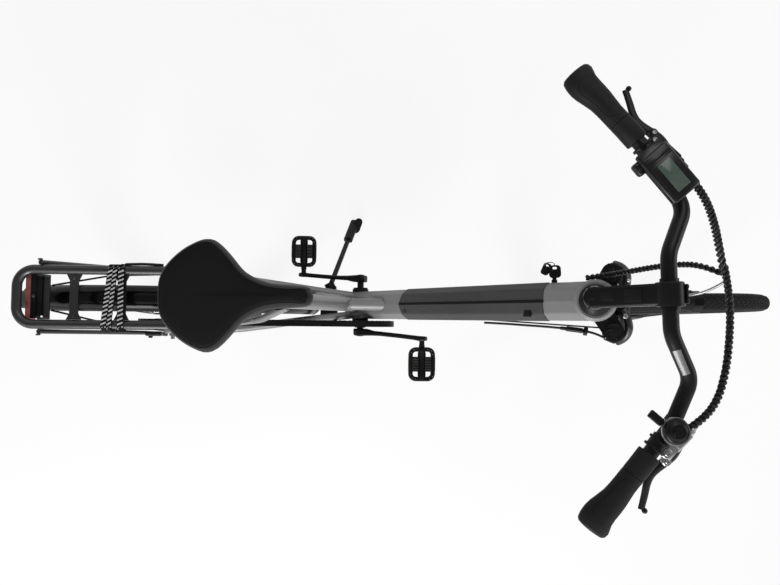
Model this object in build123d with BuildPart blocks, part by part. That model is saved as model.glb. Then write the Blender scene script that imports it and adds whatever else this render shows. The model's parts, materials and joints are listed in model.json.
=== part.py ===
from build123d import *
from math import asin, atan2, cos, hypot, pi, radians, sin, tan
import os

# City bicycle with an electric drive, leaning on its side stand, in millimetres.
# It is drawn upright: X forward from the crank's axis, Y to its left, Z up from the floor.
# At the end every piece is leaned over and set down with the floor at Z = 0.

# How it is parked
lean = 6.0
steer_rest = 1.8
crank_angle = 25.84

# Wheels
wheel_radius = 348.0
tyre_width = 40.0
tyre_flat_angle = 30
tyre_seat_depth = 14.0
bead_radius = 312.0
rim_width = 25.0
rim_inner_radius = 292.0
spoke_count = 36
spoke_diameter = 2.4
axle_radius = 5.5
axle_end_radius = 5.0
axle_end_length = 8.0
nut_height = 8.0
rear_nut = 74.0
front_nut = 58.0

# Frame
chainstay_run = 465.0
front_centre = 649.0
crank_height = 293.0
head_angle = 70.3
seat_angle = 71.1
fork_offset = 42.6
head_tube_length = 148.0
head_tube_radius = 26.0
head_cup_radius = 30.0
head_rim_radius = 36.0
down_tube_width = 70.0
down_tube_depth = 84.0
down_tube_angle = 54.5
down_tube_top_at_head = 885.0
seat_tube_diameter = 33.5
seat_tube_length = 452.0
brace_height = 408.0
brace_diameter = 29.0
shell_diameter = 42.0
shell_width = 68.0
stay_diameter = 20.0
dropout_spacing = 130.0
seatstay_diameter = 15.0

# Battery set into the down tube
battery_length = 424.0
battery_start_height = 455.0
battery_seat = -22.0
battery_rise = 1.2
battery_point = 12.0

# Saddle
saddle_top = 956.0
saddle_length = 246.0
saddle_width = 188.0
saddle_rear_x = -327.0
saddle_thickness = 52.0
seatpost_diameter = 27.2

# Rear rack
rack_top = 752.0
rack_tube = 18.0
rack_width = 122.0
rack_rear_x = -657.0
rack_front_x = -300.0
plate_places = (-541.0, -452.0, -352.0)
plate_width = 16.0
plate_thickness = 4.0
plate_flare = 12.0
strut_diameter = 9.0
light_face_x = -638.0
light_depth = 9.0
light_width = 92.0
light_height = 24.0
light_low = 706.0

# Mudguards
guard_gap = 15.0
guard_wall = 2.0
rear_guard_width = 52.0
front_guard_width = 46.0
guard_stay_diameter = 4.0

# Fork
leg_spacing = 113.0
leg_offset = 31.0
leg_radius = 17.5
stanchion_radius = 14.0
crown_height = 44.0
knob_radius = 18.0
axle_to_crown = 470.0
steerer_radius = 14.3
lower_length = 345.0

# Handlebar and stem
bar_diameter = 22.2
bar_clamp_diameter = 26.0
bar_x = 434.0
bar_z = 1118.0
stem_top_height = 1024.0
stem_radius = 17.0
grip_length = 122.0
display_length = 74.0
display_width = 50.0

# Cranks, chain and pedals
crank_length = 172.0
crank_width = 17.0
crank_thickness = 11.0
pedal_face = 88.5
teeth = 38
rear_teeth = 19
pitch = 12.7
chain_y = -43.0
chain_width = 7.0
link_height = 9.0
tooth_notch = 4.0
pedal_length = 67.0
pedal_width = 85.0
pedal_height = 19.0
pedal_edge = 9.0
pedal_gap = 15.5
pedal_corner = 13.0
pedal_window = 15.0
guard_outer_y = -55.0
guard_depth = 15.0

# Cables
cable_diameter = 5.0

# Side stand
stand_x = -80.7
stand_y = 50.66
stand_z = 257.0
foot_x = -21.51
foot_y = 253.2
foot_start = 0.71
foot_width = 25.0
foot_depth = 17.0
foot_toe = 11.0
stand_leg_width = 13.0
stand_leg_depth = 9.0
stand_pin_slant = 52.0
folded_way = (-0.99, 0.07, 0.02)

tyre_round = tyre_width / 2
axle_height = wheel_radius
ground_drop = tyre_round * (1 - cos(radians(lean)))
rear_axle = (-chainstay_run, 0, axle_height)
front_axle = (front_centre, 0, axle_height)

# Steering frame: X forward across the axis, Y left, Z up along the axis.
head = radians(head_angle)
steer_foot = (front_centre - fork_offset * sin(head), 0, axle_height - fork_offset * cos(head))
steering = Plane(origin=steer_foot, x_dir=(sin(head), 0, cos(head)), z_dir=(-cos(head), 0, sin(head)))
head_bottom = axle_to_crown + 3
head_top = head_bottom + head_tube_length

# Seat tube frame: Z up along the tube from the crank's axis.
seat = radians(seat_angle)
seat_frame = Plane(origin=(0, 0, crank_height), x_dir=(sin(seat), 0, cos(seat)),
                   z_dir=(-cos(seat), 0, sin(seat)))

# Down tube frame: X down and forward across the tube, Z up along it from the crank's axis.
down = radians(down_tube_angle)
head_axis_x = steer_foot[0] - (down_tube_top_at_head - steer_foot[2]) / tan(head)
top_edge_x = head_axis_x - head_tube_radius / sin(head)
dropout_y = leg_spacing / 2
down_drop = ((crank_height - down_tube_top_at_head) * cos(down) + top_edge_x * sin(down)
             + down_tube_depth / 2)
down_frame = Plane(origin=(down_drop * sin(down), 0, crank_height - down_drop * cos(down)),
                   x_dir=(sin(down), 0, -cos(down)), z_dir=(cos(down), 0, sin(down)))


def unit(v):
    size = hypot(*v)
    return tuple(c / size for c in v)


def along(plane, x, y, z):
    """A point given in a plane's own frame, in the bicycle's frame."""
    return tuple(plane.from_local_coords(Vector(x, y, z)))


def rod(points, radii, diameter):
    """A round bar that follows a route of straight runs joined by arcs."""
    with BuildPart() as bar:
        with BuildLine() as route:
            if radii:
                FilletPolyline(*points, radius=radii)
            else:
                Line(*points)
        with BuildSketch(Plane(origin=route.line @ 0, z_dir=route.line % 0)):
            Circle(diameter / 2)
        sweep()
    return bar.part


def wheel_plane(place, angle=0):
    """Y of the bicycle runs along the plane's X, and the plane's Y points out from the hub."""
    turn = radians(angle)
    return Plane(origin=place, x_dir=(0, 1, 0), z_dir=(cos(turn), 0, sin(turn)))


# Wheels
def make_tyre(place):
    """A casing with flats all round its section, which keeps a long thin shape light."""
    centre = wheel_radius - tyre_round
    section = [(tyre_round * cos(radians(a)), centre + tyre_round * sin(radians(a)))
               for a in range(-30, 211, tyre_flat_angle)]
    with BuildPart() as tyre:
        with BuildSketch(wheel_plane(place)):
            with BuildLine():
                Polyline(section, close=True)
            make_face()
            with Locations((0, bead_radius)):
                Rectangle(rim_width, tyre_seat_depth, align=(Align.CENTER, Align.MIN))
            Rectangle(2 * tyre_width, 2 * bead_radius, mode=Mode.SUBTRACT)
        revolve(axis=Axis(place, (0, 1, 0)))
    return tyre


def make_rim(place):
    half = rim_width / 2
    with BuildPart() as rim:
        with BuildSketch(wheel_plane(place)):
            with BuildLine():
                Polyline((-half, bead_radius - 0.3), (-half, bead_radius - 10), (-5, rim_inner_radius),
                         (5, rim_inner_radius), (half, bead_radius - 10), (half, bead_radius - 0.3),
                         close=True)
            make_face()
        revolve(axis=Axis(place, (0, 1, 0)))
    return rim


def make_laced_hub(place, outline, flange_y, flange_radius):
    """A hub turned from its outline, with the spokes that leave each flange on a slant."""
    step = 360 / spoke_count
    slant = 62 if flange_radius < 60 else 34
    with BuildPart() as hub:
        with BuildSketch(wheel_plane(place)):
            with BuildLine():
                Polyline(outline, close=True)
            make_face()
        revolve(axis=Axis(place, (0, 1, 0)))
        for i in range(spoke_count):
            side = 1 if i % 2 == 0 else -1
            forward = 1 if i % 4 < 2 else -1
            end = radians(step * i)
            start = end + forward * radians(slant)
            inner = (place[0] + flange_radius * cos(start), side * (flange_y + 1.2 * forward),
                     place[2] + flange_radius * sin(start))
            outer = (place[0] + (rim_inner_radius + 1) * cos(end), side * 3,
                     place[2] + (rim_inner_radius + 1) * sin(end))
            reach = Vector(*outer) - Vector(*inner)
            with BuildSketch(Plane(origin=inner, z_dir=tuple(reach))):
                RegularPolygon(spoke_diameter / 2, 6)
            extrude(amount=reach.length)
    return hub


# A gearless hub motor in front: a flat drum with a flange at each side
front_hub_outline = [(-38, 9), (-38, 20), (-30, 62), (-28, 70), (-23, 70), (-22, 64), (22, 64), (23, 70),
                     (28, 70), (30, 62), (38, 20), (38, 9)]
# A geared hub behind: a barrel between two flanges, and the sprocket on its right
rear_hub_outline = [(-46, 7), (-46, 17), (-44, 18), (-44, 33), (-42, 33), (-42, 22), (-31, 24), (-30, 44),
                    (-26, 44), (-25, 32), (25, 30), (26, 44), (30, 44), (31, 24), (45, 20), (45, 7)]


def make_axle(place, reach, nut):
    """A shouldered axle with a nut at each side and a thinner threaded end past it."""
    with BuildPart() as axle:
        with BuildSketch(Plane(origin=(place[0], -nut - nut_height, place[2]), z_dir=(0, 1, 0))):
            Circle(axle_radius)
        extrude(amount=2 * (nut + nut_height))
        for side in (-1, 1):
            with BuildSketch(Plane(origin=(place[0], side * nut, place[2]), z_dir=(0, side, 0))):
                RegularPolygon(9, 6)
            extrude(amount=nut_height)
            with BuildSketch(Plane(origin=(place[0], side * (nut + nut_height), place[2]),
                                   z_dir=(0, side, 0))):
                Circle(axle_end_radius)
            extrude(amount=reach - nut - nut_height)
    return axle


front_tyre = make_tyre(front_axle)
rear_tyre = make_tyre(rear_axle)
front_rim = make_rim(front_axle)
rear_rim = make_rim(rear_axle)
front_hub = make_laced_hub(front_axle, front_hub_outline, 25.5, 68)
rear_hub = make_laced_hub(rear_axle, rear_hub_outline, 28, 42)

# Frame tubes
with BuildPart() as head_tube:
    with BuildSketch(Plane(origin=steering.origin, x_dir=steering.x_dir, z_dir=-steering.y_dir)):
        with BuildLine():
            Polyline((0, head_bottom), (head_cup_radius, head_bottom), (head_cup_radius, head_bottom + 12),
                     (head_tube_radius, head_bottom + 20), (head_tube_radius, head_bottom + 50),
                     (head_rim_radius, head_top - 40), (head_rim_radius, head_top - 5),
                     (head_rim_radius - 5, head_top), (0, head_top), close=True)
        make_face()
    revolve(axis=Axis(steer_foot, tuple(steering.z_dir)))
    with BuildSketch(steering.offset(head_bottom)):
        Circle(steerer_radius + 0.4)
    extrude(amount=head_tube_length, mode=Mode.SUBTRACT)

tube_half = down_tube_depth / 2


def tube_section(swell=0):
    """Flat sides and belly with rounded edges, and two shallow facets that meet in a ridge on top."""
    side = down_tube_width / 2 + swell
    with BuildSketch() as section:
        with BuildLine():
            Polyline((tube_half + swell, 20), (tube_half - 18, side), (-tube_half + 17, side),
                     (-tube_half + 4 - swell, 23), (-tube_half - swell, 0), (-tube_half + 4 - swell, -23),
                     (-tube_half + 17, -side), (tube_half - 18, -side), (tube_half + swell, -20),
                     close=True)
        make_face()
        fillet(section.vertices().filter_by(lambda v: abs(v.Y) > 1), 9)
    return section.sketch


down_end = (down_tube_top_at_head - crank_height) / sin(down) + 20
with BuildPart() as down_tube:
    with BuildSketch(down_frame.offset(-28)):
        add(tube_section())
    extrude(amount=down_end + 28)
    with BuildSketch(steering.offset(head_bottom - 60)):
        with Locations((100, 0)):
            Rectangle(200, 140)
    extrude(amount=head_tube_length + 160, mode=Mode.SUBTRACT)
    with BuildSketch(steering.offset(head_bottom - 1)):
        Circle(head_tube_radius - 2)
    extrude(amount=head_tube_length + 2, mode=Mode.SUBTRACT)
    add(head_tube.part, mode=Mode.SUBTRACT)
    with BuildSketch(Plane(origin=(0, -60, crank_height), z_dir=(0, 1, 0))):
        Circle(shell_diameter / 2)
    extrude(amount=120, mode=Mode.SUBTRACT)

# The battery's cover has a lower end that comes to a point on the tube's ridge
battery_start = (battery_start_height - crank_height) / sin(down)
cover_half = down_tube_width
cover_plane = Plane(origin=down_frame.origin, x_dir=down_frame.z_dir, z_dir=-down_frame.x_dir)
with BuildPart(mode=Mode.PRIVATE) as battery_bay:
    with BuildSketch(cover_plane.offset(-battery_seat)):
        with BuildLine():
            Polyline((battery_start, 0), (battery_start + 2 * battery_point, -cover_half),
                     (battery_start + battery_length, -cover_half), (battery_start + battery_length, cover_half),
                     (battery_start + 2 * battery_point, cover_half), close=True)
        make_face()
    extrude(amount=down_tube_depth)
with BuildPart() as battery_pack:
    with BuildSketch(down_frame.offset(battery_start)):
        add(tube_section(swell=battery_rise))
    extrude(amount=battery_length)
    add(battery_bay.part, mode=Mode.INTERSECT)
with BuildPart() as main_tube:
    add(down_tube.part)
    add(battery_bay.part, mode=Mode.SUBTRACT)

with BuildPart() as bottom_shell:
    with BuildSketch(Plane(origin=(0, -shell_width / 2, crank_height), z_dir=(0, 1, 0))):
        Circle(shell_diameter / 2 - 0.1)
    extrude(amount=shell_width)
    for side in (-1, 1):
        with BuildSketch(Plane(origin=(0, side * shell_width / 2, crank_height), z_dir=(0, side, 0))):
            Circle(shell_diameter / 2 - 3)
            Circle(9, mode=Mode.SUBTRACT)
        extrude(amount=6)
    with BuildSketch(Plane(origin=(0, -shell_width, crank_height), z_dir=(0, 1, 0))):
        Circle(9)
    extrude(amount=2 * shell_width, mode=Mode.SUBTRACT)

with BuildPart() as seat_tube:
    with BuildSketch(seat_frame.offset(shell_diameter / 2 - 4)):
        Circle(seat_tube_diameter / 2)
    extrude(amount=seat_tube_length)
    with BuildSketch(Plane(origin=(0, -60, crank_height), z_dir=(0, 1, 0))):
        Circle(shell_diameter / 2)
    extrude(amount=120, mode=Mode.SUBTRACT)
    add(main_tube.part, mode=Mode.SUBTRACT)
    with BuildSketch(seat_frame.offset(seat_tube_length - 90)):
        Circle(seatpost_diameter / 2)
    extrude(amount=200, mode=Mode.SUBTRACT)

brace_s = (brace_height - crank_height) / sin(seat)
brace_start = along(seat_frame, 0, 0, brace_s)
with BuildPart() as brace_tube:
    with BuildSketch(Plane(origin=brace_start, x_dir=(0, 1, 0), z_dir=(1, 0, 0.06))):
        Circle(brace_diameter / 2)
    extrude(amount=160)
    add(seat_tube.part, mode=Mode.SUBTRACT)
    with BuildSketch(seat_frame.offset(brace_s - 60)):
        Circle(seat_tube_diameter / 2)
    extrude(amount=120, mode=Mode.SUBTRACT)
    with BuildSketch(down_frame):
        with Locations((200 - down_tube_depth / 2, 0)):
            Rectangle(400, 100)
    extrude(amount=400, mode=Mode.SUBTRACT)

# Rear triangle
drop_y = dropout_spacing / 2 + 4
stay_front = (-14, 24, crank_height + 2)
chainstay_route = [stay_front, (-110, 36, crank_height + 14), (-300, 62, crank_height + 37),
                   (-chainstay_run + 34, drop_y, axle_height - 6)]
with BuildPart() as chainstays:
    add(rod(chainstay_route, [120, 200], stay_diameter))
    with BuildSketch(Plane(origin=(0, drop_y - 3.5, 0), x_dir=(1, 0, 0), z_dir=(0, 1, 0))):
        with BuildLine():
            Polyline((-chainstay_run + 44, -(axle_height - 14)), (-chainstay_run + 44, -(axle_height + 4)),
                     (-chainstay_run + 16, -(axle_height + 34)), (-chainstay_run - 6, -(axle_height + 40)),
                     (-chainstay_run - 22, -(axle_height + 10)), (-chainstay_run - 20, -(axle_height - 16)),
                     (-chainstay_run + 10, -(axle_height - 18)), close=True)
        make_face()
    extrude(amount=7)
    with BuildSketch(Plane(origin=(rear_axle[0], 0, rear_axle[2]), x_dir=(1, 0, 0), z_dir=(0, 1, 0))):
        Circle(axle_radius + 0.2)
    extrude(amount=100, mode=Mode.SUBTRACT)
    with BuildSketch(Plane(origin=(0, 0, crank_height), x_dir=(1, 0, 0), z_dir=(0, 1, 0))):
        Circle(shell_diameter / 2)
    extrude(amount=100, mode=Mode.SUBTRACT)
    add(main_tube.part, mode=Mode.SUBTRACT)
    add(seat_tube.part, mode=Mode.SUBTRACT)
    mirror(about=Plane.XZ)

seat_top = along(seat_frame, 0, 0, seat_tube_length + shell_diameter / 2 - 44)
seatstay_route = [(-chainstay_run - 6, drop_y, axle_height + 36),
                  (seat_top[0] - 62, 38, seat_top[2] - 50), (seat_top[0] - 4, 13, seat_top[2])]
with BuildPart() as seatstays:
    add(rod(seatstay_route, [90], seatstay_diameter))
    with BuildSketch(seat_frame.offset(seat_tube_length - 150)):
        Circle(seat_tube_diameter / 2)
    extrude(amount=200, mode=Mode.SUBTRACT)
    add(chainstays.part, mode=Mode.SUBTRACT)
    mirror(about=Plane.XZ)

with BuildPart() as seatpost:
    with BuildSketch(seat_frame.offset(seat_tube_length - 90)):
        Circle(seatpost_diameter / 2 - 0.05)
    extrude(amount=(890 - crank_height) / sin(seat) - seat_tube_length + 90)
    with BuildSketch(seat_frame.offset(seat_tube_length + shell_diameter / 2 - 4)):
        Circle(seat_tube_diameter / 2 + 4)
        Circle(seatpost_diameter / 2 - 0.05, mode=Mode.SUBTRACT)
    extrude(amount=12)
    with BuildSketch(Plane(origin=(-212, -14, 891), x_dir=(1, 0, 0), z_dir=(0, 1, 0))):
        Rectangle(44, 24)
    extrude(amount=28)

# Saddle
saddle_front_x = saddle_rear_x + saddle_length
saddle_half = saddle_width / 2
with BuildSketch() as saddle_plan:
    with BuildLine():
        back = ThreePointArc((saddle_rear_x + 8, 34), (saddle_rear_x, 0), (saddle_rear_x + 8, -34))
        wing = ThreePointArc(back @ 1, (saddle_rear_x + 30, -70), (saddle_rear_x + 74, -saddle_half))
        waist = ThreePointArc(wing @ 1, (saddle_rear_x + 104, -80), (saddle_rear_x + 132, -46))
        flank = ThreePointArc(waist @ 1, (saddle_rear_x + 176, -25), (saddle_front_x - 16, -17))
        ThreePointArc(flank @ 1, (saddle_front_x, 0), (saddle_front_x - 16, 17))
        for curve in (wing, waist, flank):
            mirror(curve, about=Plane.XZ)
    make_face()
with BuildPart() as saddle:
    for inset, low, high in ((0, 0, 34), (5, 34, 44), (13, 44, saddle_thickness)):
        with BuildSketch(Plane.XY.offset(saddle_top - saddle_thickness + low)):
            add(saddle_plan.sketch)
            if inset:
                offset(amount=-inset, mode=Mode.REPLACE)
        extrude(amount=high - low)

rail_z = 893.0
with BuildPart() as saddle_rails:
    for side in (-1, 1):
        add(rod([(saddle_rear_x + 40, side * 40, 912), (saddle_rear_x + 70, side * 24, rail_z),
                 (saddle_front_x - 90, side * 22, rail_z), (saddle_front_x - 40, side * 10, 908)],
                [20, 30], 7))
    add(saddle.part, mode=Mode.SUBTRACT)
    add(seatpost.part, mode=Mode.SUBTRACT)

# Rear rack
rack_z = rack_top - rack_tube / 2
rack_y = rack_width / 2 - rack_tube / 2
rack_route = [(rack_front_x, rack_y, rack_z), (rack_rear_x + rack_tube / 2, rack_y, rack_z),
              (rack_rear_x + rack_tube / 2, -rack_y, rack_z), (rack_front_x, -rack_y, rack_z)]
with BuildPart() as rack_loop:
    add(rod([(-196, 22, rack_z - 40)] + rack_route + [(-196, -22, rack_z - 40)],
            [40, 32, 32, 40], rack_tube))

with BuildPart() as rack_plates:
    reach = rack_width / 2 - rack_tube - 0.1
    waist = reach - plate_flare
    for place in plate_places:
        near = place - plate_width / 2
        far = place + plate_width / 2
        with BuildSketch(Plane.XY.offset(rack_z - plate_thickness / 2)):
            with BuildLine():
                Polyline((near, -waist), (near - plate_flare / 2, -reach), (far + plate_flare / 2, -reach),
                         (far, -waist), (far, waist), (far + plate_flare / 2, reach),
                         (near - plate_flare / 2, reach), (near, waist), close=True)
            make_face()
        extrude(amount=plate_thickness)
    with BuildSketch(Plane(origin=(-603, 0, rack_z - 26), z_dir=(0, 0, 1))):
        Rectangle(12, rack_width - 2 * rack_tube - 0.2)
    extrude(amount=4)
    for side in (-1, 1):
        with BuildSketch(Plane(origin=(-603, side * (rack_y - rack_tube / 2 - 2.1), rack_z - 26),
                               z_dir=(0, 0, 1))):
            Rectangle(12, 4)
        extrude(amount=26)

with BuildPart() as rack_struts:
    for side in (-1, 1):
        strut_top = (-606, side * (rack_y + rack_tube / 2 + strut_diameter / 2 + 0.1), rack_z)
        add(rod([strut_top, (-498, side * 74, 420), (-chainstay_run - 8, side * (drop_y + 9.2), 374)],
                [60], strut_diameter))

with BuildPart() as rack_straps:
    for place in (-467, -452, -437):
        with BuildSketch(Plane(origin=(place, 0, 0), x_dir=(0, 1, 0), z_dir=(1, 0, 0))):
            with Locations((0, rack_top + 1.6)):
                Rectangle(rack_width + 4, 2.6)
            for side in (-1, 1):
                with Locations((side * (rack_width / 2 + 1.7), rack_top - 8)):
                    Rectangle(2.6, 20)
        extrude(amount=12.5)

with BuildPart() as rear_light:
    with BuildSketch(Plane.XY.offset(light_low)):
        with Locations((light_face_x + light_depth / 2, 2)):
            Rectangle(light_depth, light_width)
            fillet(vertices(), 3)
    extrude(amount=light_height)

with BuildPart() as light_housing:
    for inset, reach in ((3, 10), (8, 19.9)):
        with BuildSketch(Plane.XY.offset(light_low + inset / 2)):
            with Locations((light_face_x + light_depth + 0.05, 2)):
                Rectangle(reach, light_width - 2 * inset, align=(Align.MIN, Align.CENTER))
        extrude(amount=light_height - inset)


# Mudguards: a curved strip bent round the wheel from one angle to another
def make_guard(place, width, start, end):
    radius = wheel_radius + guard_gap
    with BuildPart() as guard:
        with BuildSketch(wheel_plane(place, start)):
            with BuildLine():
                outer = ThreePointArc((-width / 2, radius - 12), (0, radius + 6), (width / 2, radius - 12))
                inner = ThreePointArc((-width / 2 + guard_wall, radius - 12), (0, radius + 6 - guard_wall),
                                      (width / 2 - guard_wall, radius - 12))
                Line(outer @ 0, inner @ 0)
                Line(outer @ 1, inner @ 1)
            make_face()
        revolve(axis=Axis(place, (0, -1, 0)), revolution_arc=end - start)
    return guard


rear_mudguard = make_guard(rear_axle, rear_guard_width, -86, 38)
front_mudguard = make_guard(front_axle, front_guard_width, -7, 115)
stay_hold = wheel_radius + guard_gap - 7
with BuildPart() as rear_guard_stays:
    for side in (-1, 1):
        hold = (rear_axle[0] - stay_hold * sin(radians(25)), side * (rear_guard_width / 2 - 1),
                rear_axle[2] + stay_hold * cos(radians(25)))
        add(rod([hold, (-540, side * 53, 560), (-chainstay_run - 19, side * drop_y, axle_height + 14)],
                [60], guard_stay_diameter))
    add(rear_mudguard.part, mode=Mode.SUBTRACT)
    add(chainstays.part, mode=Mode.SUBTRACT)

# Fork
def leg_points(side):
    return (leg_offset, side * leg_spacing / 2)


crown_bottom = axle_to_crown - crown_height
with BuildPart() as fork_crown:
    for side in (-1, 1):
        with BuildSketch(steering.offset(crown_bottom)):
            Circle(22)
            with Locations(leg_points(side)):
                Circle(19)
            make_hull()
        extrude(amount=crown_height - 10)
    with BuildSketch(steering.offset(crown_bottom)):
        Circle(25)
    extrude(amount=crown_height)
    with BuildSketch(steering.offset(crown_bottom)):
        Circle(steerer_radius)
    extrude(amount=crown_height + head_tube_length + 10)
    for side in (-1, 1):
        with BuildSketch(steering.offset(crown_bottom - 1)):
            with Locations(leg_points(side)):
                Circle(stanchion_radius)
        extrude(amount=crown_height - 10, mode=Mode.SUBTRACT)

with BuildPart() as fork_knobs:
    for side in (-1, 1):
        with BuildSketch(steering.offset(axle_to_crown - 10)):
            with Locations(leg_points(side)):
                Circle(knob_radius)
        extrude(amount=12)

with BuildPart() as fork_stanchions:
    for side in (-1, 1):
        with BuildSketch(steering.offset(lower_length - 30)):
            with Locations(leg_points(side)):
                Circle(stanchion_radius - 0.05)
        extrude(amount=crown_bottom + crown_height - 12 - lower_length + 30)

fork_face = Plane(origin=along(steering, leg_offset, 0, 0), x_dir=(0, 1, 0), z_dir=tuple(steering.x_dir))
arch_base = lower_length - 24
arch_front = 14.2
with BuildPart() as fork_lowers:
    for side in (-1, 1):
        with BuildSketch(steering.offset(14)):
            with Locations(leg_points(side)):
                Circle(leg_radius)
        extrude(amount=lower_length - 14)
        with BuildSketch(Plane(origin=along(steering, 0, side * (dropout_y - 3), 0), x_dir=steering.x_dir,
                               z_dir=-steering.y_dir)):
            with Locations((fork_offset, 0)):
                Circle(15)
            with Locations((leg_offset, 30)):
                Circle(12)
            make_hull()
            with Locations((fork_offset, 0)):
                Circle(axle_radius + 0.2, mode=Mode.SUBTRACT)
        extrude(amount=3.5, both=True)
    with BuildSketch(fork_face.offset(arch_front)):
        with Locations((0, arch_base)):
            Circle(leg_spacing / 2 + leg_radius - 1)
            Circle(leg_spacing / 2 - 2, mode=Mode.SUBTRACT)
        with Locations((0, arch_base - 100)):
            Rectangle(300, 200, mode=Mode.SUBTRACT)
    extrude(amount=12)
    for side in (-1, 1):
        with BuildSketch(steering.offset(lower_length - 30)):
            with Locations(leg_points(side)):
                Circle(stanchion_radius)
        extrude(amount=120, mode=Mode.SUBTRACT)

with BuildPart() as front_guard_stays:
    for side in (-1, 1):
        hold = (front_axle[0] - stay_hold * sin(radians(96)), side * (front_guard_width / 2 - 1),
                front_axle[2] + stay_hold * cos(radians(96)))
        add(rod([hold, along(steering, fork_offset - 14, side * (dropout_y - 3), 5)], [], guard_stay_diameter))
    add(front_mudguard.part, mode=Mode.SUBTRACT)
    add(fork_lowers.part, mode=Mode.SUBTRACT)

# Stem: an upright barrel on the steerer and a slanting arm to the bar's clamp
stem_top = (stem_top_height - steer_foot[2]) / sin(head)
stem_pivot = along(steering, 0, 0, stem_top - 18)
side_plane = Plane(origin=(0, 0, 0), x_dir=(1, 0, 0), z_dir=(0, -1, 0))
with BuildPart() as stem:
    with BuildSketch(steering.offset(head_top + 0.6)):
        Circle(head_cup_radius - 2)
    extrude(amount=8, taper=30)
    with BuildSketch(steering.offset(head_top + 8)):
        Circle(stem_radius)
    extrude(amount=stem_top - head_top - 16)
    with BuildSketch(side_plane.offset(-14)):
        with Locations((stem_pivot[0], stem_pivot[2])):
            Circle(18)
        with Locations((bar_x, bar_z)):
            Circle(17)
        make_hull()
    extrude(amount=28)
    with BuildSketch(side_plane.offset(-17)):
        with Locations((bar_x, bar_z)):
            Circle(bar_clamp_diameter / 2 + 7)
    extrude(amount=34)
    with BuildSketch(side_plane.offset(-40)):
        with Locations((bar_x, bar_z)):
            Circle(bar_clamp_diameter / 2)
    extrude(amount=80, mode=Mode.SUBTRACT)
    with BuildSketch(steering.offset(crown_bottom)):
        Circle(steerer_radius)
    extrude(amount=crown_height + head_tube_length + 10, mode=Mode.SUBTRACT)

# Handlebar: each side is swept forward, then back along the grip
grip_end = (328, 330, 1071)
bar_bend = (440, 186, 1094)
bar_crest = (464, 120, 1108)
bar_shoulder = (bar_x, 56, bar_z)
bar_side = [grip_end, bar_bend, bar_crest, bar_shoulder]


def flipped(points):
    return [(x, -y, z) for x, y, z in points]


with BuildPart() as handlebar:
    add(rod(bar_side + flipped(bar_side)[::-1], [60, 38, 50, 50, 38, 60], bar_diameter))
    with BuildSketch(side_plane.offset(-22)):
        with Locations((bar_x, bar_z)):
            Circle(bar_clamp_diameter / 2 - 0.05)
    extrude(amount=44)

grip_way = unit([a - b for a, b in zip(grip_end, bar_bend)])


def grip_plane(side, back):
    """On the bar's axis, this far in from its end, looking outward along the grip."""
    place = [e - back * w for e, w in zip(grip_end, grip_way)]
    return Plane(origin=(place[0], side * place[1], place[2]), x_dir=(grip_way[1] * side, -grip_way[0], 0),
                 z_dir=(grip_way[0], side * grip_way[1], grip_way[2]))


with BuildPart() as grips:
    for side in (-1, 1):
        for start, end, r_start, r_end in ((grip_length, 70, 15, 16.5), (70, 22, 16.5, 17.5), (22, -5, 17.5, 21)):
            with BuildSketch(grip_plane(side, start)):
                Circle(r_start)
            with BuildSketch(grip_plane(side, end)):
                Circle(r_end)
            loft()
        with BuildSketch(grip_plane(side, grip_length + 1)):
            Circle(bar_diameter / 2)
        extrude(amount=grip_length + 1, mode=Mode.SUBTRACT)

with BuildPart() as brake_levers:
    for side in (-1, 1):
        with BuildSketch(grip_plane(side, grip_length + 40)):
            Circle(bar_diameter / 2 + 5)
            Circle(bar_diameter / 2 + 0.05, mode=Mode.SUBTRACT)
        extrude(amount=18)
        route = [(448, 196, 1090), (456, 232, 1078), (424, 272, 1069), (410, 306, 1064)]
        add(rod(route if side > 0 else flipped(route), [14, 30], 9))
        route = [(444, 190, 1091), (464, 212, 1088)]
        add(rod(route if side > 0 else flipped(route), [], 20))
    add(handlebar.part, mode=Mode.SUBTRACT)

with BuildPart() as display:
    with BuildSketch(Plane(origin=(432, 164, 1118), x_dir=(0.63, -0.77, 0), z_dir=(0, 0, 1))):
        Rectangle(display_length, display_width)
        fillet(vertices(), 7)
    extrude(amount=15)
    with BuildSketch(Plane(origin=(398, 190, 1104), x_dir=(0.63, -0.77, 0), z_dir=(0, 0, 1))):
        Rectangle(30, 30)
        fillet(vertices(), 8)
    extrude(amount=17)
    add(handlebar.part, mode=Mode.SUBTRACT)
    add(grips.part, mode=Mode.SUBTRACT)

with BuildPart() as bell:
    with BuildSketch(Plane(origin=(432, -189, 1109), z_dir=(0, 0, 1))):
        Circle(19)
    extrude(amount=24)
    chamfer(faces().sort_by(Axis.Z)[-1].edges(), 7)

with BuildPart() as headlamp:
    with BuildSketch(Plane(origin=(597, 0, 778), z_dir=(0, 0, 1))):
        Rectangle(54, 42)
        fillet(vertices(), 8)
    extrude(amount=38)
    with BuildSketch(Plane(origin=(540, 0, 782), z_dir=(0, 0, 1))):
        Rectangle(90, 10)
    extrude(amount=4)
    with BuildSketch(Plane(origin=(497, 0, 740), z_dir=(0, 0, 1))):
        Rectangle(4, 10)
    extrude(amount=44)

front_axle_piece = make_axle(front_axle, front_nut + nut_height + axle_end_length, front_nut)
rear_axle_piece = make_axle(rear_axle, rear_nut + nut_height + axle_end_length, rear_nut)

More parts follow.
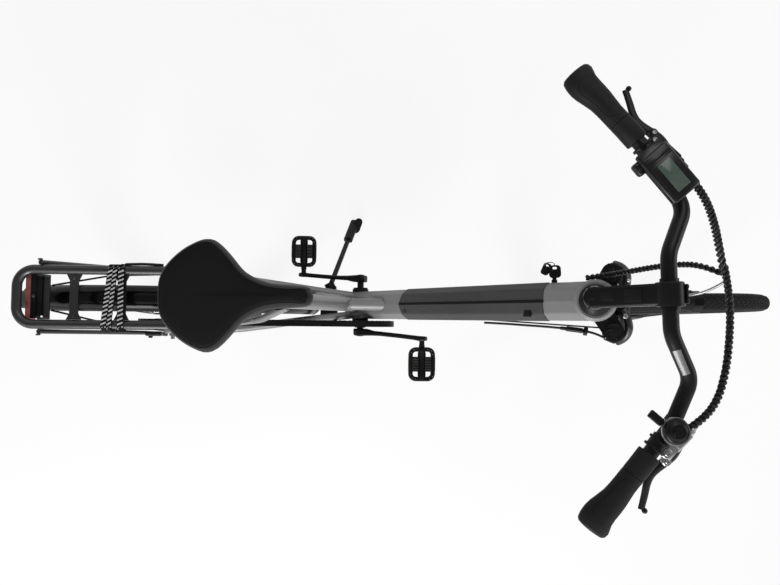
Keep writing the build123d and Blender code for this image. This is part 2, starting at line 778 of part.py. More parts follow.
# Rim brakes: two arms that hold pads beside the rim, joined by the cable at their tops
def make_brake(face, arm_base, arm_top, base_y, top_y):
    """The arms' planes face outward from the wheel's own legs, and the pads reach in to the rim."""
    with BuildPart() as brake:
        for side in (-1, 1):
            with BuildSketch(face):
                with Locations((side * base_y, arm_base)):
                    Circle(9)
                with Locations((side * top_y, arm_top)):
                    Circle(6)
                make_hull()
            extrude(amount=9)
            with BuildSketch(face.offset(-14)):
                with Locations((side * (rim_width / 2 + 12), arm_base + 30)):
                    Rectangle(13, 12)
            extrude(amount=16)
            with BuildSketch(face.offset(-26)):
                with Locations((side * (rim_width / 2 + 7), arm_base + 30)):
                    Rectangle(9, 9)
            extrude(amount=36)
            with BuildSketch(face.offset(-8)):
                with Locations((side * base_y, arm_base)):
                    Circle(6)
            extrude(amount=9)
        with BuildSketch(face.offset(3)):
            with Locations((0, arm_top)):
                Rectangle(2 * top_y, 3)
        extrude(amount=3)
    return brake


with BuildPart() as front_brake:
    add(make_brake(fork_face.offset(arch_front + 14), 270, 378, 46, 42).part)
    add(fork_lowers.part, mode=Mode.SUBTRACT)

brake_up = radians(44)
rear_brake_face = Plane(origin=rear_axle, x_dir=(0, -1, 0), z_dir=(-sin(brake_up), 0, cos(brake_up)))
with BuildPart() as rear_brake:
    add(make_brake(rear_brake_face.offset(40), 270, 380, 50, 38).part)
    add(seatstays.part, mode=Mode.SUBTRACT)

# Cranks, chain and pedals
turn = radians(crank_angle)


def pedal_tip(side):
    """Where a crank's outer face meets its pedal's axis: the left crank points back and down."""
    return (-side * crank_length * cos(turn), side * pedal_face, crank_height - side * crank_length * sin(turn))


with BuildPart() as crankset:
    with BuildSketch(Plane(origin=(0, -70, crank_height), z_dir=(0, 1, 0))):
        Circle(8.5)
    extrude(amount=140)
    for side in (-1, 1):
        out = -side * crank_length
        with BuildSketch(Plane(origin=(0, side * 58, crank_height), x_dir=(1, 0, 0), z_dir=(0, side, 0))):
            Circle(16)
        extrude(amount=18)
        way = (-side * cos(turn), 0, -side * sin(turn))
        root = (0, side * 66, crank_height)
        tip = (way[0] * crank_length, side * (pedal_face - 6.5), crank_height + way[2] * crank_length)
        for place, width in ((root, crank_width + 4), (tip, crank_width)):
            with BuildSketch(Plane(origin=place, x_dir=(-way[2], 0, way[0]), z_dir=way)):
                Rectangle(width, crank_thickness)
        loft()
        with BuildSketch(Plane(origin=(tip[0], side * (pedal_face - 13), tip[2]), z_dir=(0, side, 0))):
            Circle(12)
        extrude(amount=13)

ring = pitch / (2 * sin(pi / teeth))
cog = pitch / (2 * sin(pi / rear_teeth))
with BuildPart() as chainring:
    with BuildSketch(Plane(origin=(0, chain_y - 1, crank_height), x_dir=(1, 0, 0), z_dir=(0, 1, 0))):
        Circle(ring - 5)
        with PolarLocations(ring - 5, teeth):
            RegularPolygon(tooth_notch, 8, mode=Mode.SUBTRACT)
        Circle(ring - 17, mode=Mode.SUBTRACT)
        with PolarLocations(ring / 2 - 4, 5):
            Rectangle(ring - 18, 14)
        Circle(20)
    extrude(amount=2)
    with BuildSketch(Plane(origin=(0, -57.9, crank_height), z_dir=(0, 1, 0))):
        Circle(14)
    extrude(amount=14)
    with BuildSketch(Plane(origin=(0, -90, crank_height), z_dir=(0, 1, 0))):
        Circle(8.6)
    extrude(amount=90, mode=Mode.SUBTRACT)


def make_pedal(side):
    tip = pedal_tip(side)
    inner = side * (pedal_face + pedal_gap)
    with BuildPart() as pedal:
        with BuildSketch(Plane(origin=(tip[0], inner, tip[2]), x_dir=(1, 0, 0), z_dir=(0, side, 0))):
            with BuildLine():
                half = pedal_length / 2
                top = ThreePointArc((-half, pedal_edge / 2), (0, pedal_height / 2), (half, pedal_edge / 2))
                low = ThreePointArc((half, -pedal_edge / 2), (0, -pedal_height / 2), (-half, -pedal_edge / 2))
                Line(top @ 1, low @ 0)
                Line(low @ 1, top @ 0)
            make_face()
        extrude(amount=pedal_width)
        under = Plane(origin=(tip[0], inner + side * pedal_width / 2, tip[2] - pedal_height), z_dir=(0, 0, 1))
        with BuildSketch(under):
            Rectangle(pedal_length, pedal_width)
            fillet(vertices(), pedal_corner)
        extrude(amount=2 * pedal_height, mode=Mode.INTERSECT)
        with BuildSketch(under):
            with GridLocations(pedal_length / 2, pedal_width - 32, 2, 2):
                Rectangle(pedal_window, pedal_window)
                fillet(vertices(), 2)
            with GridLocations(pedal_length / 2, 0, 2, 1):
                Rectangle(pedal_window, 7)
        extrude(amount=2 * pedal_height, mode=Mode.SUBTRACT)
        with BuildSketch(Plane(origin=(tip[0], side * (pedal_face + 0.3), tip[2]), z_dir=(0, side, 0))):
            Circle(7)
        extrude(amount=pedal_gap + 2)
        with BuildSketch(Plane(origin=(tip[0], inner, tip[2]), z_dir=(0, side, 0))):
            Circle(pedal_height / 2 - 0.5)
        extrude(amount=pedal_width)
    return pedal


left_pedal = make_pedal(1)
right_pedal = make_pedal(-1)

# The chain's pitch line: back on top, round the sprocket, forward below, round the ring
span = hypot(chainstay_run, axle_height - crank_height)
uphill = pi - atan2(axle_height - crank_height, chainstay_run)
ease = asin((ring - cog) / span)
top_normal = uphill - pi / 2 + ease
low_normal = uphill + pi / 2 - ease
straight = span * cos(ease)
chain_legs = [straight, cog * (pi - 2 * ease), straight, ring * (pi + 2 * ease)]
link_count = 2 * round(sum(chain_legs) / pitch / 2)
link_step = sum(chain_legs) / link_count


def on_circle(centre, radius, angle, forward=0):
    return (centre[0] + radius * cos(angle) - forward * sin(angle),
            centre[1] + radius * sin(angle) + forward * cos(angle))


def chain_spot(way):
    """A place on the pitch line and the direction from its wheel out to it."""
    leg = 0
    while leg < 3 and way > chain_legs[leg]:
        way -= chain_legs[leg]
        leg += 1
    crank_centre = (0, crank_height)
    axle_centre = (-chainstay_run, axle_height)
    if leg == 0:
        return on_circle(crank_centre, ring, top_normal, way), top_normal
    if leg == 1:
        return on_circle(axle_centre, cog, top_normal + way / cog), top_normal + way / cog
    if leg == 2:
        return on_circle(axle_centre, cog, low_normal, way), low_normal
    return on_circle(crank_centre, ring, low_normal + way / ring), low_normal + way / ring


with BuildPart() as chain:
    for first, height, width in ((0, link_height, chain_width), (1, link_height - 2, chain_width - 2.6)):
        with BuildSketch(Plane(origin=(0, chain_y + width / 2, 0), x_dir=(1, 0, 0), z_dir=(0, -1, 0))):
            for i in range(first, link_count, 2):
                spot, normal = chain_spot((i + 0.5) * link_step)
                with Locations(Location((spot[0], spot[1], 0), (0, 0, normal * 180 / pi + 90))):
                    Rectangle(pitch + 2.5, height)
        extrude(amount=width)

guard_wheel = ring + 11
with BuildPart() as chain_guard:
    for depth, inset in ((guard_depth, 0), (guard_depth - guard_wall, guard_wall)):
        with BuildSketch(Plane(origin=(0, guard_outer_y + inset, 0), x_dir=(1, 0, 0), z_dir=(0, -1, 0))):
            with Locations((0, crank_height)):
                Circle(guard_wheel - inset)
            with Locations((-chainstay_run - 30, axle_height)):
                Circle(cog + 15 - inset)
            make_hull()
            with Locations((-600, crank_height - 14)):
                Rectangle(600, 200, align=(Align.MIN, Align.MAX), mode=Mode.SUBTRACT)
            with Locations((-700, crank_height + 62)):
                Rectangle(700 - 44, 200, align=(Align.MIN, Align.MAX), mode=Mode.SUBTRACT)
        extrude(amount=-depth, mode=Mode.ADD if inset == 0 else Mode.SUBTRACT)
    with BuildSketch(Plane(origin=(0, guard_outer_y - 1, 0), x_dir=(1, 0, 0), z_dir=(0, -1, 0))):
        with Locations((0, crank_height)):
            Circle(24)
    extrude(amount=-20, mode=Mode.SUBTRACT)

# Side stand: the leg turns on a slanting pin, from out and down to back along the chainstay
stand_top = (stand_x, stand_y, stand_z)
foot_point = (foot_x, foot_y, foot_y * tan(radians(lean)) - ground_drop)
stand_way = unit([b - a for a, b in zip(stand_top, foot_point)])
stand_reach = hypot(*[b - a for a, b in zip(stand_top, foot_point)])
flat_pin = Vector(*stand_way).cross(Vector(*folded_way)).normalized()
middle_way = (Vector(*stand_way) + Vector(*unit(folded_way))).normalized()
slant = radians(stand_pin_slant)
stand_pin = tuple(flat_pin * cos(slant) + middle_way * sin(slant))
# Seen along the pin, the angle from the leg's place to its folded place
leg_seen = Vector(*stand_way).cross(Vector(*stand_pin))
folded_seen = Vector(*folded_way).cross(Vector(*stand_pin))
stand_swing = leg_seen.get_angle(folded_seen)
stand_plane = Plane(origin=stand_top, x_dir=tuple(Vector(*stand_way).cross(flat_pin)), z_dir=stand_way)
hinge_plane = Plane(origin=stand_top, x_dir=tuple(Vector(*stand_pin).cross(leg_seen)), z_dir=stand_pin)
floor_plane = Plane(origin=(0, 0, -ground_drop), x_dir=(1, 0, 0),
                    z_dir=(0, -sin(radians(lean)), cos(radians(lean))))
with BuildPart() as stand_leg:
    with BuildSketch(stand_plane.offset(4)):
        Rectangle(stand_leg_width, stand_leg_depth)
        fillet(vertices(), 3)
    extrude(amount=stand_reach - 34)
    with BuildSketch(hinge_plane.offset(-9)):
        Circle(13)
    extrude(amount=18)

with BuildPart() as stand_foot:
    with BuildSketch(stand_plane.offset(foot_start * stand_reach)):
        Rectangle(foot_width, foot_depth)
        fillet(vertices(), 6)
    extrude(amount=stand_reach)
    with BuildSketch(floor_plane):
        with Locations((foot_x + 2, foot_y - 14)):
            Circle(foot_toe + 4)
        with Locations((foot_x + 13, foot_y + 5)):
            Circle(foot_toe)
        make_hull()
    extrude(amount=foot_depth)
    with BuildSketch(floor_plane):
        with Locations((0, 240)):
            Rectangle(900, 900)
    extrude(amount=-400, mode=Mode.SUBTRACT)
    add(stand_leg.part, mode=Mode.SUBTRACT)

stay_part = (stay_front[0] - stand_x) / (stay_front[0] - chainstay_route[1][0])
stay_bottom = stay_front[2] + stay_part * (chainstay_route[1][2] - stay_front[2]) - stay_diameter / 2
with BuildPart() as stand_bracket:
    with BuildSketch(Plane.XY.offset(stand_z - 14)):
        with Locations((stand_x, -12)):
            Rectangle(34, 80, align=(Align.CENTER, Align.MIN))
    extrude(amount=stay_bottom - stand_z + 14)
    with BuildSketch(hinge_plane.offset(-9.5)):
        Rectangle(300, 300)
    extrude(amount=200, mode=Mode.SUBTRACT)
    with BuildSketch(Plane.XY.offset(stay_bottom - 4)):
        with Locations((stand_x, 0)):
            Rectangle(44, 76)
    extrude(amount=4 + stay_diameter / 2)
    add(chainstays.part, mode=Mode.SUBTRACT)

# Cables
join_point = (552, 30, 1046)
left_route = [(458, 196, 1090), (498, 146, 1094), (528, 96, 1074), (544, 58, 1058), (550, 36, 1050)]
right_route = [(456, -198, 1088), (498, -178, 1090), (530, -128, 1078), (550, -78, 1062), (558, -26, 1054),
               (556, 22, 1048)]
frame_route = [(548, 36, 1040), (522, 54, 1004), (486, 56, 974), (450, 50, 950), (420, 44, 920), (398, 44, 888)]
with BuildPart() as bar_cables:
    add(rod(left_route, [30, 40, 40], 12))
    add(rod(right_route, [30, 40, 40, 40], 12))
    add(brake_levers.part, mode=Mode.SUBTRACT)
    add(display.part, mode=Mode.SUBTRACT)
with BuildPart() as frame_cables:
    add(rod(frame_route, [30, 40, 40, 40], 11))

motor_route = [(258, -40.5, 660), (330, -44, 700), (400, -50, 738), (440, -54, 752), (478, -66, 738)]
with BuildPart() as motor_cable:
    add(rod(motor_route, [200, 100, 60], cable_diameter))

lead_x = leg_offset - leg_radius - 0.5
lead_y = -leg_spacing / 2 - 9.5
with BuildPart() as motor_lead:
    lead_end = -front_nut - nut_height - axle_end_length - 0.1
    lead_points = [along(steering, lead_x, lead_y, 421), along(steering, lead_x, lead_y, 80),
                   along(steering, lead_x + 4, lead_y - 14, 42), along(steering, fork_offset, lead_end - 18, 0),
                   along(steering, fork_offset, lead_end, 0)]
    add(rod(lead_points, [40, 12, 6], cable_diameter))

with BuildPart() as battery_lock:
    with BuildSketch(Plane(origin=(352, down_tube_width / 2, 780), z_dir=(0, 1, 0))):
        Circle(11)
    extrude(amount=6)
    with BuildSketch(Plane(origin=(352, down_tube_width / 2 + 6, 780), x_dir=(1, 0, 0), z_dir=(0, 1, 0))):
        Rectangle(8, 3)
    extrude(amount=12)
    with BuildSketch(Plane(origin=(352, down_tube_width / 2 + 18, 780), x_dir=(1, 0, 0), z_dir=(0, 1, 0))):
        Rectangle(22, 6)
    extrude(amount=24)

# Parking: the steered pieces turn first, then everything leans
steer_line = Location(steer_foot) * Location((0, 0, 0), tuple(steering.z_dir), steer_rest)
steered = steer_line * Location([-c for c in steer_foot])
rear_x = -chainstay_run - wheel_radius
front_x = front_centre + wheel_radius
parked = (Location((-(rear_x + front_x) / 2, -grip_end[2] * sin(radians(lean)), ground_drop))
          * Location((0, 0, 0), (1, 0, 0), -lean))

fixed_nodes = {
    "rear_tyre": rear_tyre, "rear_rim": rear_rim, "rear_hub": rear_hub,
    "head_tube": head_tube, "down_tube": main_tube, "battery_pack": battery_pack,
    "bottom_shell": bottom_shell, "seat_tube": seat_tube, "brace_tube": brace_tube,
    "chainstays": chainstays, "seatstays": seatstays, "seatpost": seatpost, "saddle": saddle,
    "saddle_rails": saddle_rails, "rack_loop": rack_loop, "rack_plates": rack_plates,
    "rack_struts": rack_struts, "rack_straps": rack_straps, "rear_light": rear_light,
    "light_housing": light_housing, "rear_guard_stays": rear_guard_stays,
    "rear_mudguard": rear_mudguard, "rear_axle": rear_axle_piece, "rear_brake": rear_brake,
    "crankset": crankset, "chainring": chainring, "left_pedal": left_pedal, "right_pedal": right_pedal,
    "chain": chain, "chain_guard": chain_guard, "stand_leg": stand_leg, "stand_foot": stand_foot,
    "stand_bracket": stand_bracket, "motor_cable": motor_cable, "battery_lock": battery_lock,
    "frame_cables": frame_cables,
}
steered_nodes = {
    "front_tyre": front_tyre, "front_rim": front_rim, "front_hub": front_hub,
    "fork_crown": fork_crown, "fork_knobs": fork_knobs, "fork_stanchions": fork_stanchions,
    "fork_lowers": fork_lowers, "stem": stem, "handlebar": handlebar, "grips": grips,
    "brake_levers": brake_levers, "display": display, "bell": bell, "headlamp": headlamp,
    "front_axle": front_axle_piece, "front_brake": front_brake, "front_mudguard": front_mudguard,
    "bar_cables": bar_cables, "front_guard_stays": front_guard_stays, "motor_lead": motor_lead,
}
os.makedirs("parts", exist_ok=True)
for group, place in ((fixed_nodes, parked), (steered_nodes, parked * steered)):
    for node, piece in group.items():
        shape = place * piece.part
        shape.label = node
        export_step(shape, f"parts/{node}.step")
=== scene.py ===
import json
import math

import bmesh
import bpy
from mathutils import Matrix, Vector


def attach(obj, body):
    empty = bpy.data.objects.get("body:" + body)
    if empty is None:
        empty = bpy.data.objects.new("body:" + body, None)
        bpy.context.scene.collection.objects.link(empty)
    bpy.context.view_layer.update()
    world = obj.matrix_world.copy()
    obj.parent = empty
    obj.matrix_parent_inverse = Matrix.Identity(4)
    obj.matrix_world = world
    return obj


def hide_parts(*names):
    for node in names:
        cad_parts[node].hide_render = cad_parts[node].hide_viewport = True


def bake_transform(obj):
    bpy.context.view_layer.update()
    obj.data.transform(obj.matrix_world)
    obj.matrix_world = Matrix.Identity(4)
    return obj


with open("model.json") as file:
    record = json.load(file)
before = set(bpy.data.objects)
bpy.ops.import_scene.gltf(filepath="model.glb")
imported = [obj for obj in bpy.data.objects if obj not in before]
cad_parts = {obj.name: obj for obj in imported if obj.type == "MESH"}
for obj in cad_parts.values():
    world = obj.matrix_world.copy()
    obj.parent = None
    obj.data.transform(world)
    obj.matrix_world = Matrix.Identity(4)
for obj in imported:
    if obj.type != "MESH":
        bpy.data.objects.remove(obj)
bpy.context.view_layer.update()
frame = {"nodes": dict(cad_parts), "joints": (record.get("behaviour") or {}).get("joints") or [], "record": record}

nodes = frame["nodes"]
joints = {j["name"]: j for j in frame["joints"]}
print("frame loaded:", len(nodes), "pieces")


# The bicycle's own upright frame, found from its joints: X forward from the crank, Y left, Z up
crankHeight = 0.293
steerRest = math.radians(1.8)
crankPlace = Vector(joints["crank_spin"]["pos_m"])
wheelAxis = Vector(joints["rear_wheel_spin"]["axis"])
leanAngle = math.atan2(-wheelAxis.z, wheelAxis.y)
leanTurn = Matrix.Rotation(-leanAngle, 4, "X")
bikeFrame = Matrix.Translation(crankPlace) @ leanTurn @ Matrix.Translation((0, 0, -crankHeight))
toBike = bikeFrame.inverted()
steerFoot = toBike @ Vector(joints["steering_turn"]["pos_m"])
steerAxis = (toBike.to_3x3() @ Vector(joints["steering_turn"]["axis"])).normalized()
steerTurn = Matrix.Translation(steerFoot) @ Matrix.Rotation(steerRest, 4, steerAxis) @ Matrix.Translation(-steerFoot)
steeredFrame = bikeFrame @ steerTurn
headAngle = math.atan2(steerAxis.z, -steerAxis.x)
forkFrame = steeredFrame @ Matrix.Translation(steerFoot) @ Matrix.Rotation(headAngle - math.pi / 2, 4, "Y")
# The three axles in millimetres, the front one as it is before the steering's small turn
crankAxle = Vector((0, 0, crankHeight * 1000))
rearAxle = toBike @ Vector(joints["rear_wheel_spin"]["pos_m"]) * 1000
frontAxle = steerTurn.inverted() @ (toBike @ Vector(joints["front_wheel_spin"]["pos_m"])) * 1000
print("lean", round(math.degrees(leanAngle), 2), "head", round(math.degrees(headAngle), 2))


def linkNew(name, data):
    piece = bpy.data.objects.new(name, data)
    bpy.context.scene.collection.objects.link(piece)
    return piece


# Shapes are drawn in millimetres and turned to metres as they are finished
def roundAngles(count):
    return [2 * math.pi * k / count for k in range(count)]


def onSide(side, place):
    # A place given for the left, on the left (1) or the right (-1)
    return Vector((place[0], side * place[1], place[2]))


def between(values, share):
    # A value read from an even row of them
    spot = share * (len(values) - 1)
    low = min(int(spot), len(values) - 2)
    return values[low] + (values[low + 1] - values[low]) * (spot - low)


def joinSides(shape, low, high):
    for i in range(len(low)):
        k = (i + 1) % len(low)
        shape.faces.new((low[i], low[k], high[k], high[i]))


def joinRings(shape, rings, closed=False):
    # A skin over a row of rings: its two ends are capped, or the last ring meets the first
    for low, high in zip(rings, rings[1:]):
        joinSides(shape, low, high)
    if closed:
        joinSides(shape, rings[-1], rings[0])
        return []
    return [shape.faces.new(rings[0][::-1]), shape.faces.new(rings[-1])]


def addLug(shape, foot, top):
    # A small raised block from the corners of its foot and its top, open below
    low = [shape.verts.new(corner) for corner in foot]
    high = [shape.verts.new(corner) for corner in top]
    shape.faces.new(high)
    joinSides(shape, low, high)


def addBlock(shape, size, place, turn=Matrix.Identity(4), bevel=2.0, segments=2):
    matrix = Matrix.Translation(place) @ turn @ Matrix.Diagonal((*size, 1))
    made = bmesh.ops.create_cube(shape, size=1, matrix=matrix)
    edges = list({edge for vert in made["verts"] for edge in vert.link_edges})
    bmesh.ops.bevel(shape, geom=edges, offset=bevel, segments=segments, profile=0.5, affect="EDGES")


def addTurned(shape, profile, place, way, sides=32):
    # A profile of radius and height, turned round the line that leaves a place
    turn = Matrix.Translation(place) @ Vector(way).to_track_quat("Z", "Y").to_matrix().to_4x4()
    joinRings(shape, [[shape.verts.new(turn @ Vector((radius * math.cos(a), radius * math.sin(a), height)))
                       for a in roundAngles(sides)] for radius, height in profile])


def addPrism(shape, outline, low, high, matrix, bevel, segments=2):
    rings = [[shape.verts.new(matrix @ Vector((x, y, z))) for x, y in outline] for z in (low, high)]
    rims = [edge for cap in joinRings(shape, rings) for edge in cap.edges]
    bmesh.ops.bevel(shape, geom=rims, offset=bevel, segments=segments, profile=0.5, affect="EDGES")


def bentFrames(path):
    # A frame at each point of a path that turns as little as it can
    frames = []
    side = None
    for i, point in enumerate(path):
        way = (path[min(i + 1, len(path) - 1)] - path[max(i - 1, 0)]).normalized()
        if side is None:
            side = way.orthogonal().normalized()
        side = (side - way * side.dot(way)).normalized()
        frames.append((point, side, way.cross(side)))
    return frames


def addTube(shape, path, radius, sides=10):
    # The radius is a number, or one for each point
    sizes = radius if isinstance(radius, list) else [radius] * len(path)
    joinRings(shape, [[shape.verts.new(point + size * (math.cos(a) * side + math.sin(a) * up))
                       for a in roundAngles(sides)] for size, (point, side, up) in zip(sizes, bentFrames(path))])


def coilRound(path, radius, turns, start, steps):
    # Points of a coil wound round a path
    rows = list(zip(*bentFrames(path)))
    count = int(turns * steps)
    points = []
    for i in range(count + 1):
        point, side, up = (between(row, i / count) for row in rows)
        angle = start + 2 * math.pi * i / steps
        points.append(point + radius * (math.cos(angle) * side + math.sin(angle) * up))
    return points


def smoothRoute(points, steps=12):
    # The line of a NURBS spline through the air, read back as points
    data = bpy.data.curves.new("route", "CURVE")
    data.dimensions = "3D"
    spline = data.splines.new("NURBS")
    spline.points.add(len(points) - 1)
    for knot, point in zip(spline.points, points):
        knot.co = (*point, 1)
    spline.order_u = 3
    spline.use_endpoint_u = True
    spline.resolution_u = steps
    holder = bpy.data.objects.new("route", data)
    mesh = bpy.data.meshes.new_from_object(holder)
    path = [vert.co.copy() for vert in mesh.vertices]
    bpy.data.objects.remove(holder)
    bpy.data.curves.remove(data)
    bpy.data.meshes.remove(mesh)
    return path


def finishShape(shape, name, body, finish, place=bikeFrame, sharp=38, hides=(), rides=True):
    bmesh.ops.recalc_face_normals(shape, faces=shape.faces)
    shape.transform(place @ Matrix.Scale(0.001, 4))
    mesh = bpy.data.meshes.new(name)
    shape.to_mesh(mesh)
    shape.free()
    mesh.polygons.foreach_set("use_smooth", [True] * len(mesh.polygons))
    mesh.set_sharp_from_angle(angle=math.radians(sharp))
    mesh.materials.append(materials[finish])
    piece = linkNew(name, mesh)
    if rides:
        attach(piece, body)
    if hides:
        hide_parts(*hides)
    return piece


# Materials, all made by one recipe from the table of finishes below
def addNoise(tree, scale, detail, stretch):
    # Noise laid out in the piece's own metres
    coords = tree.nodes.new("ShaderNodeTexCoord")
    mapping = tree.nodes.new("ShaderNodeMapping")
    mapping.inputs["Scale"].default_value = stretch
    noise = tree.nodes.new("ShaderNodeTexNoise")
    noise.inputs["Scale"].default_value = scale
    noise.inputs["Detail"].default_value = detail
    tree.links.new(coords.outputs["Object"], mapping.inputs["Vector"])
    tree.links.new(mapping.outputs["Vector"], noise.inputs["Vector"])
    return noise


def rangeOf(tree, source, low, high, lowOut, highOut):
    node = tree.nodes.new("ShaderNodeMapRange")
    for key, value in (("From Min", low), ("From Max", high), ("To Min", lowOut), ("To Max", highOut)):
        node.inputs[key].default_value = value
    tree.links.new(source, node.inputs["Value"])
    return node.outputs["Result"]


def joinValues(tree, operation, one, two):
    node = tree.nodes.new("ShaderNodeMath")
    node.operation = operation
    tree.links.new(one, node.inputs[0])
    tree.links.new(two, node.inputs[1])
    return node.outputs[0]


def mixColours(tree, factor, dark, light):
    ramp = tree.nodes.new("ShaderNodeValToRGB")
    ramp.color_ramp.elements[0].color = (*dark, 1)
    ramp.color_ramp.elements[1].color = (*light, 1)
    tree.links.new(factor, ramp.inputs["Fac"])
    return ramp.outputs["Color"]


def addBump(tree, shader, height, strength, distance):
    bump = tree.nodes.new("ShaderNodeBump")
    bump.inputs["Strength"].default_value = strength
    bump.inputs["Distance"].default_value = distance
    tree.links.new(height, bump.inputs["Height"])
    tree.links.new(bump.outputs["Normal"], shader.inputs["Normal"])


def surfaceFinish(name, look):
    # A base colour that drifts a little, roughness that drifts with it, and a fine grain
    material = bpy.data.materials.new(name)
    material.use_nodes = True
    tree = material.node_tree
    shader = tree.nodes["Principled BSDF"]
    broad = addNoise(tree, look["blotchScale"], 4.0, (1, 1, 1)).outputs["Fac"]
    colours = [tint if isinstance(tint, tuple) else (tint, tint, tint) for tint in (look["dark"], look["light"])]
    drift = mixColours(tree, rangeOf(tree, broad, 0.3, 0.7, 0, 1), *colours)
    tree.links.new(drift, shader.inputs["Base Color"])
    tree.links.new(rangeOf(tree, broad, 0.3, 0.7, *look["roughness"]), shader.inputs["Roughness"])
    grain = addNoise(tree, look["grainScale"], 2.0, look.get("grainStretch", (1, 1, 1)))
    addBump(tree, shader, grain.outputs["Fac"], look["grainStrength"], look["grainDepth"])
    for socket, key, plain in (("Metallic", "metallic", 0.0), ("Coat Weight", "coat", 0.0),
                               ("Coat Roughness", "coatRoughness", 0.1), ("Specular IOR Level", "specular", 0.5)):
        shader.inputs[socket].default_value = look.get(key, plain)
    return material


# Each finish: two colours that it drifts between (one number is a grey), a range of roughness, the scale of its
# blotches in turns a metre, and a fine grain
finishes = {
    "framePaint": dict(dark=(0.175, 0.175, 0.179), light=(0.2, 0.2, 0.204), roughness=(0.38, 0.46),
                       blotchScale=6, grainScale=2600, grainStrength=0.12, grainDepth=0.0002,
                       metallic=0.2, coat=0.12, coatRoughness=0.3, specular=0.35),
    "blackPaint": dict(dark=(0.004, 0.004, 0.0042), light=(0.007, 0.007, 0.0072), roughness=(0.28, 0.38),
                       blotchScale=9, grainScale=2200, grainStrength=0.08, grainDepth=0.0002, specular=0.13),
    "rackPaint": dict(dark=(0.017, 0.017, 0.0175), light=(0.025, 0.025, 0.0255), roughness=(0.24, 0.32),
                      blotchScale=8, grainScale=1800, grainStrength=0.15, grainDepth=0.0003, metallic=0.25,
                      specular=0.5),
    "batterySkin": dict(dark=(0.038, 0.037, 0.037), light=(0.05, 0.049, 0.049), roughness=(0.42, 0.52),
                        blotchScale=7, grainScale=2000, grainStrength=0.15, grainDepth=0.0002, specular=0.2),
    "blackPlastic": dict(dark=0.005, light=0.009, roughness=(0.42, 0.56),
                         blotchScale=12, grainScale=1500, grainStrength=0.2, grainDepth=0.0003, specular=0.1),
    "guardPlastic": dict(dark=0.002, light=0.004, roughness=(0.12, 0.2),
                         blotchScale=7, grainScale=500, grainStrength=0.02, grainDepth=0.0003, specular=0.14),
    "displayFace": dict(dark=(0.006, 0.006, 0.007), light=(0.009, 0.009, 0.01), roughness=(0.16, 0.24),
                        blotchScale=12, grainScale=900, grainStrength=0.03, grainDepth=0.0002, specular=0.2),
    "panelGlass": dict(dark=(0.05, 0.074, 0.06), light=(0.072, 0.098, 0.082), roughness=(0.14, 0.2),
                       blotchScale=40, grainScale=900, grainStrength=0.02, grainDepth=0.0001, specular=0.3),
    "redLens": dict(dark=(0.2, 0.045, 0.04), light=(0.36, 0.13, 0.11), roughness=(0.3, 0.5),
                    blotchScale=55, grainScale=500, grainStrength=0.4, grainDepth=0.0008, specular=0.3),
    "amberLens": dict(dark=(0.16, 0.07, 0.01), light=(0.22, 0.1, 0.015), roughness=(0.3, 0.45),
                      blotchScale=60, grainScale=500, grainStrength=0.4, grainDepth=0.0006, specular=0.3),
    "clearLens": dict(dark=(0.32, 0.33, 0.34), light=(0.5, 0.51, 0.52), roughness=(0.1, 0.2),
                      blotchScale=60, grainScale=420, grainStrength=0.5, grainDepth=0.001, specular=0.5),
    "alloy": dict(dark=0.1, light=0.17, roughness=(0.3, 0.42),
                  blotchScale=15, grainScale=900, grainStretch=(1, 1, 12), grainStrength=0.12,
                  grainDepth=0.0002, metallic=0.8),
    "steel": dict(dark=0.22, light=0.36, roughness=(0.24, 0.36),
                  blotchScale=20, grainScale=1200, grainStrength=0.08, grainDepth=0.0002, metallic=1.0),
    "darkSteel": dict(dark=0.03, light=0.06, roughness=(0.3, 0.42),
                      blotchScale=25, grainScale=1200, grainStrength=0.08, grainDepth=0.0002, metallic=0.8),
    "chainSteel": dict(dark=(0.05, 0.045, 0.04), light=(0.12, 0.11, 0.1), roughness=(0.35, 0.55),
                       blotchScale=60, grainScale=900, grainStrength=0.2, grainDepth=0.0003, metallic=0.9),
    "tyreRubber": dict(dark=0.006, light=(0.012, 0.0118, 0.0115), roughness=(0.7, 0.85),
                       blotchScale=40, grainScale=900, grainStrength=0.35, grainDepth=0.0004, specular=0.12),
    "treadRubber": dict(dark=0.005, light=(0.022, 0.0215, 0.021), roughness=(0.75, 0.9),
                        blotchScale=220, grainScale=1100, grainStrength=0.5, grainDepth=0.0006, specular=0.12),
    "gripRubber": dict(dark=0.006, light=(0.01, 0.01, 0.0097), roughness=(0.5, 0.62),
                       blotchScale=25, grainScale=1100, grainStrength=0.4, grainDepth=0.0004, specular=0.12),
    "saddleTop": dict(dark=0.0035, light=(0.0055, 0.0055, 0.0054), roughness=(0.72, 0.85),
                      blotchScale=14, grainScale=900, grainStrength=0.5, grainDepth=0.0004, specular=0.12),
    "saddleSide": dict(dark=0.007, light=(0.011, 0.011, 0.0108), roughness=(0.5, 0.62),
                       blotchScale=14, grainScale=800, grainStrength=0.4, grainDepth=0.0004, specular=0.12),
    "strapWeb": dict(dark=0.004, light=0.01, roughness=(0.8, 0.9),
                     blotchScale=300, grainScale=1500, grainStrength=0.5, grainDepth=0.0004, specular=0.06),
    "strapThread": dict(dark=0.34, light=0.55, roughness=(0.7, 0.85),
                        blotchScale=400, grainScale=1800, grainStrength=0.6, grainDepth=0.0004, specular=0.2),
    "cableJacket": dict(dark=0.004, light=0.008, roughness=(0.32, 0.45),
                        blotchScale=20, grainScale=1500, grainStrength=0.1, grainDepth=0.0002, specular=0.2),
    # Mid-grey that shows between the left bundle's black wrap turns as painted highlights
    "paintedHighlightJacket": dict(dark=0.09, light=0.17, roughness=(0.35, 0.45),
                       blotchScale=40, grainScale=1500, grainStrength=0.1, grainDepth=0.0002, specular=0.4),
}
materials = {name: surfaceFinish(name, look) for name, look in finishes.items()}
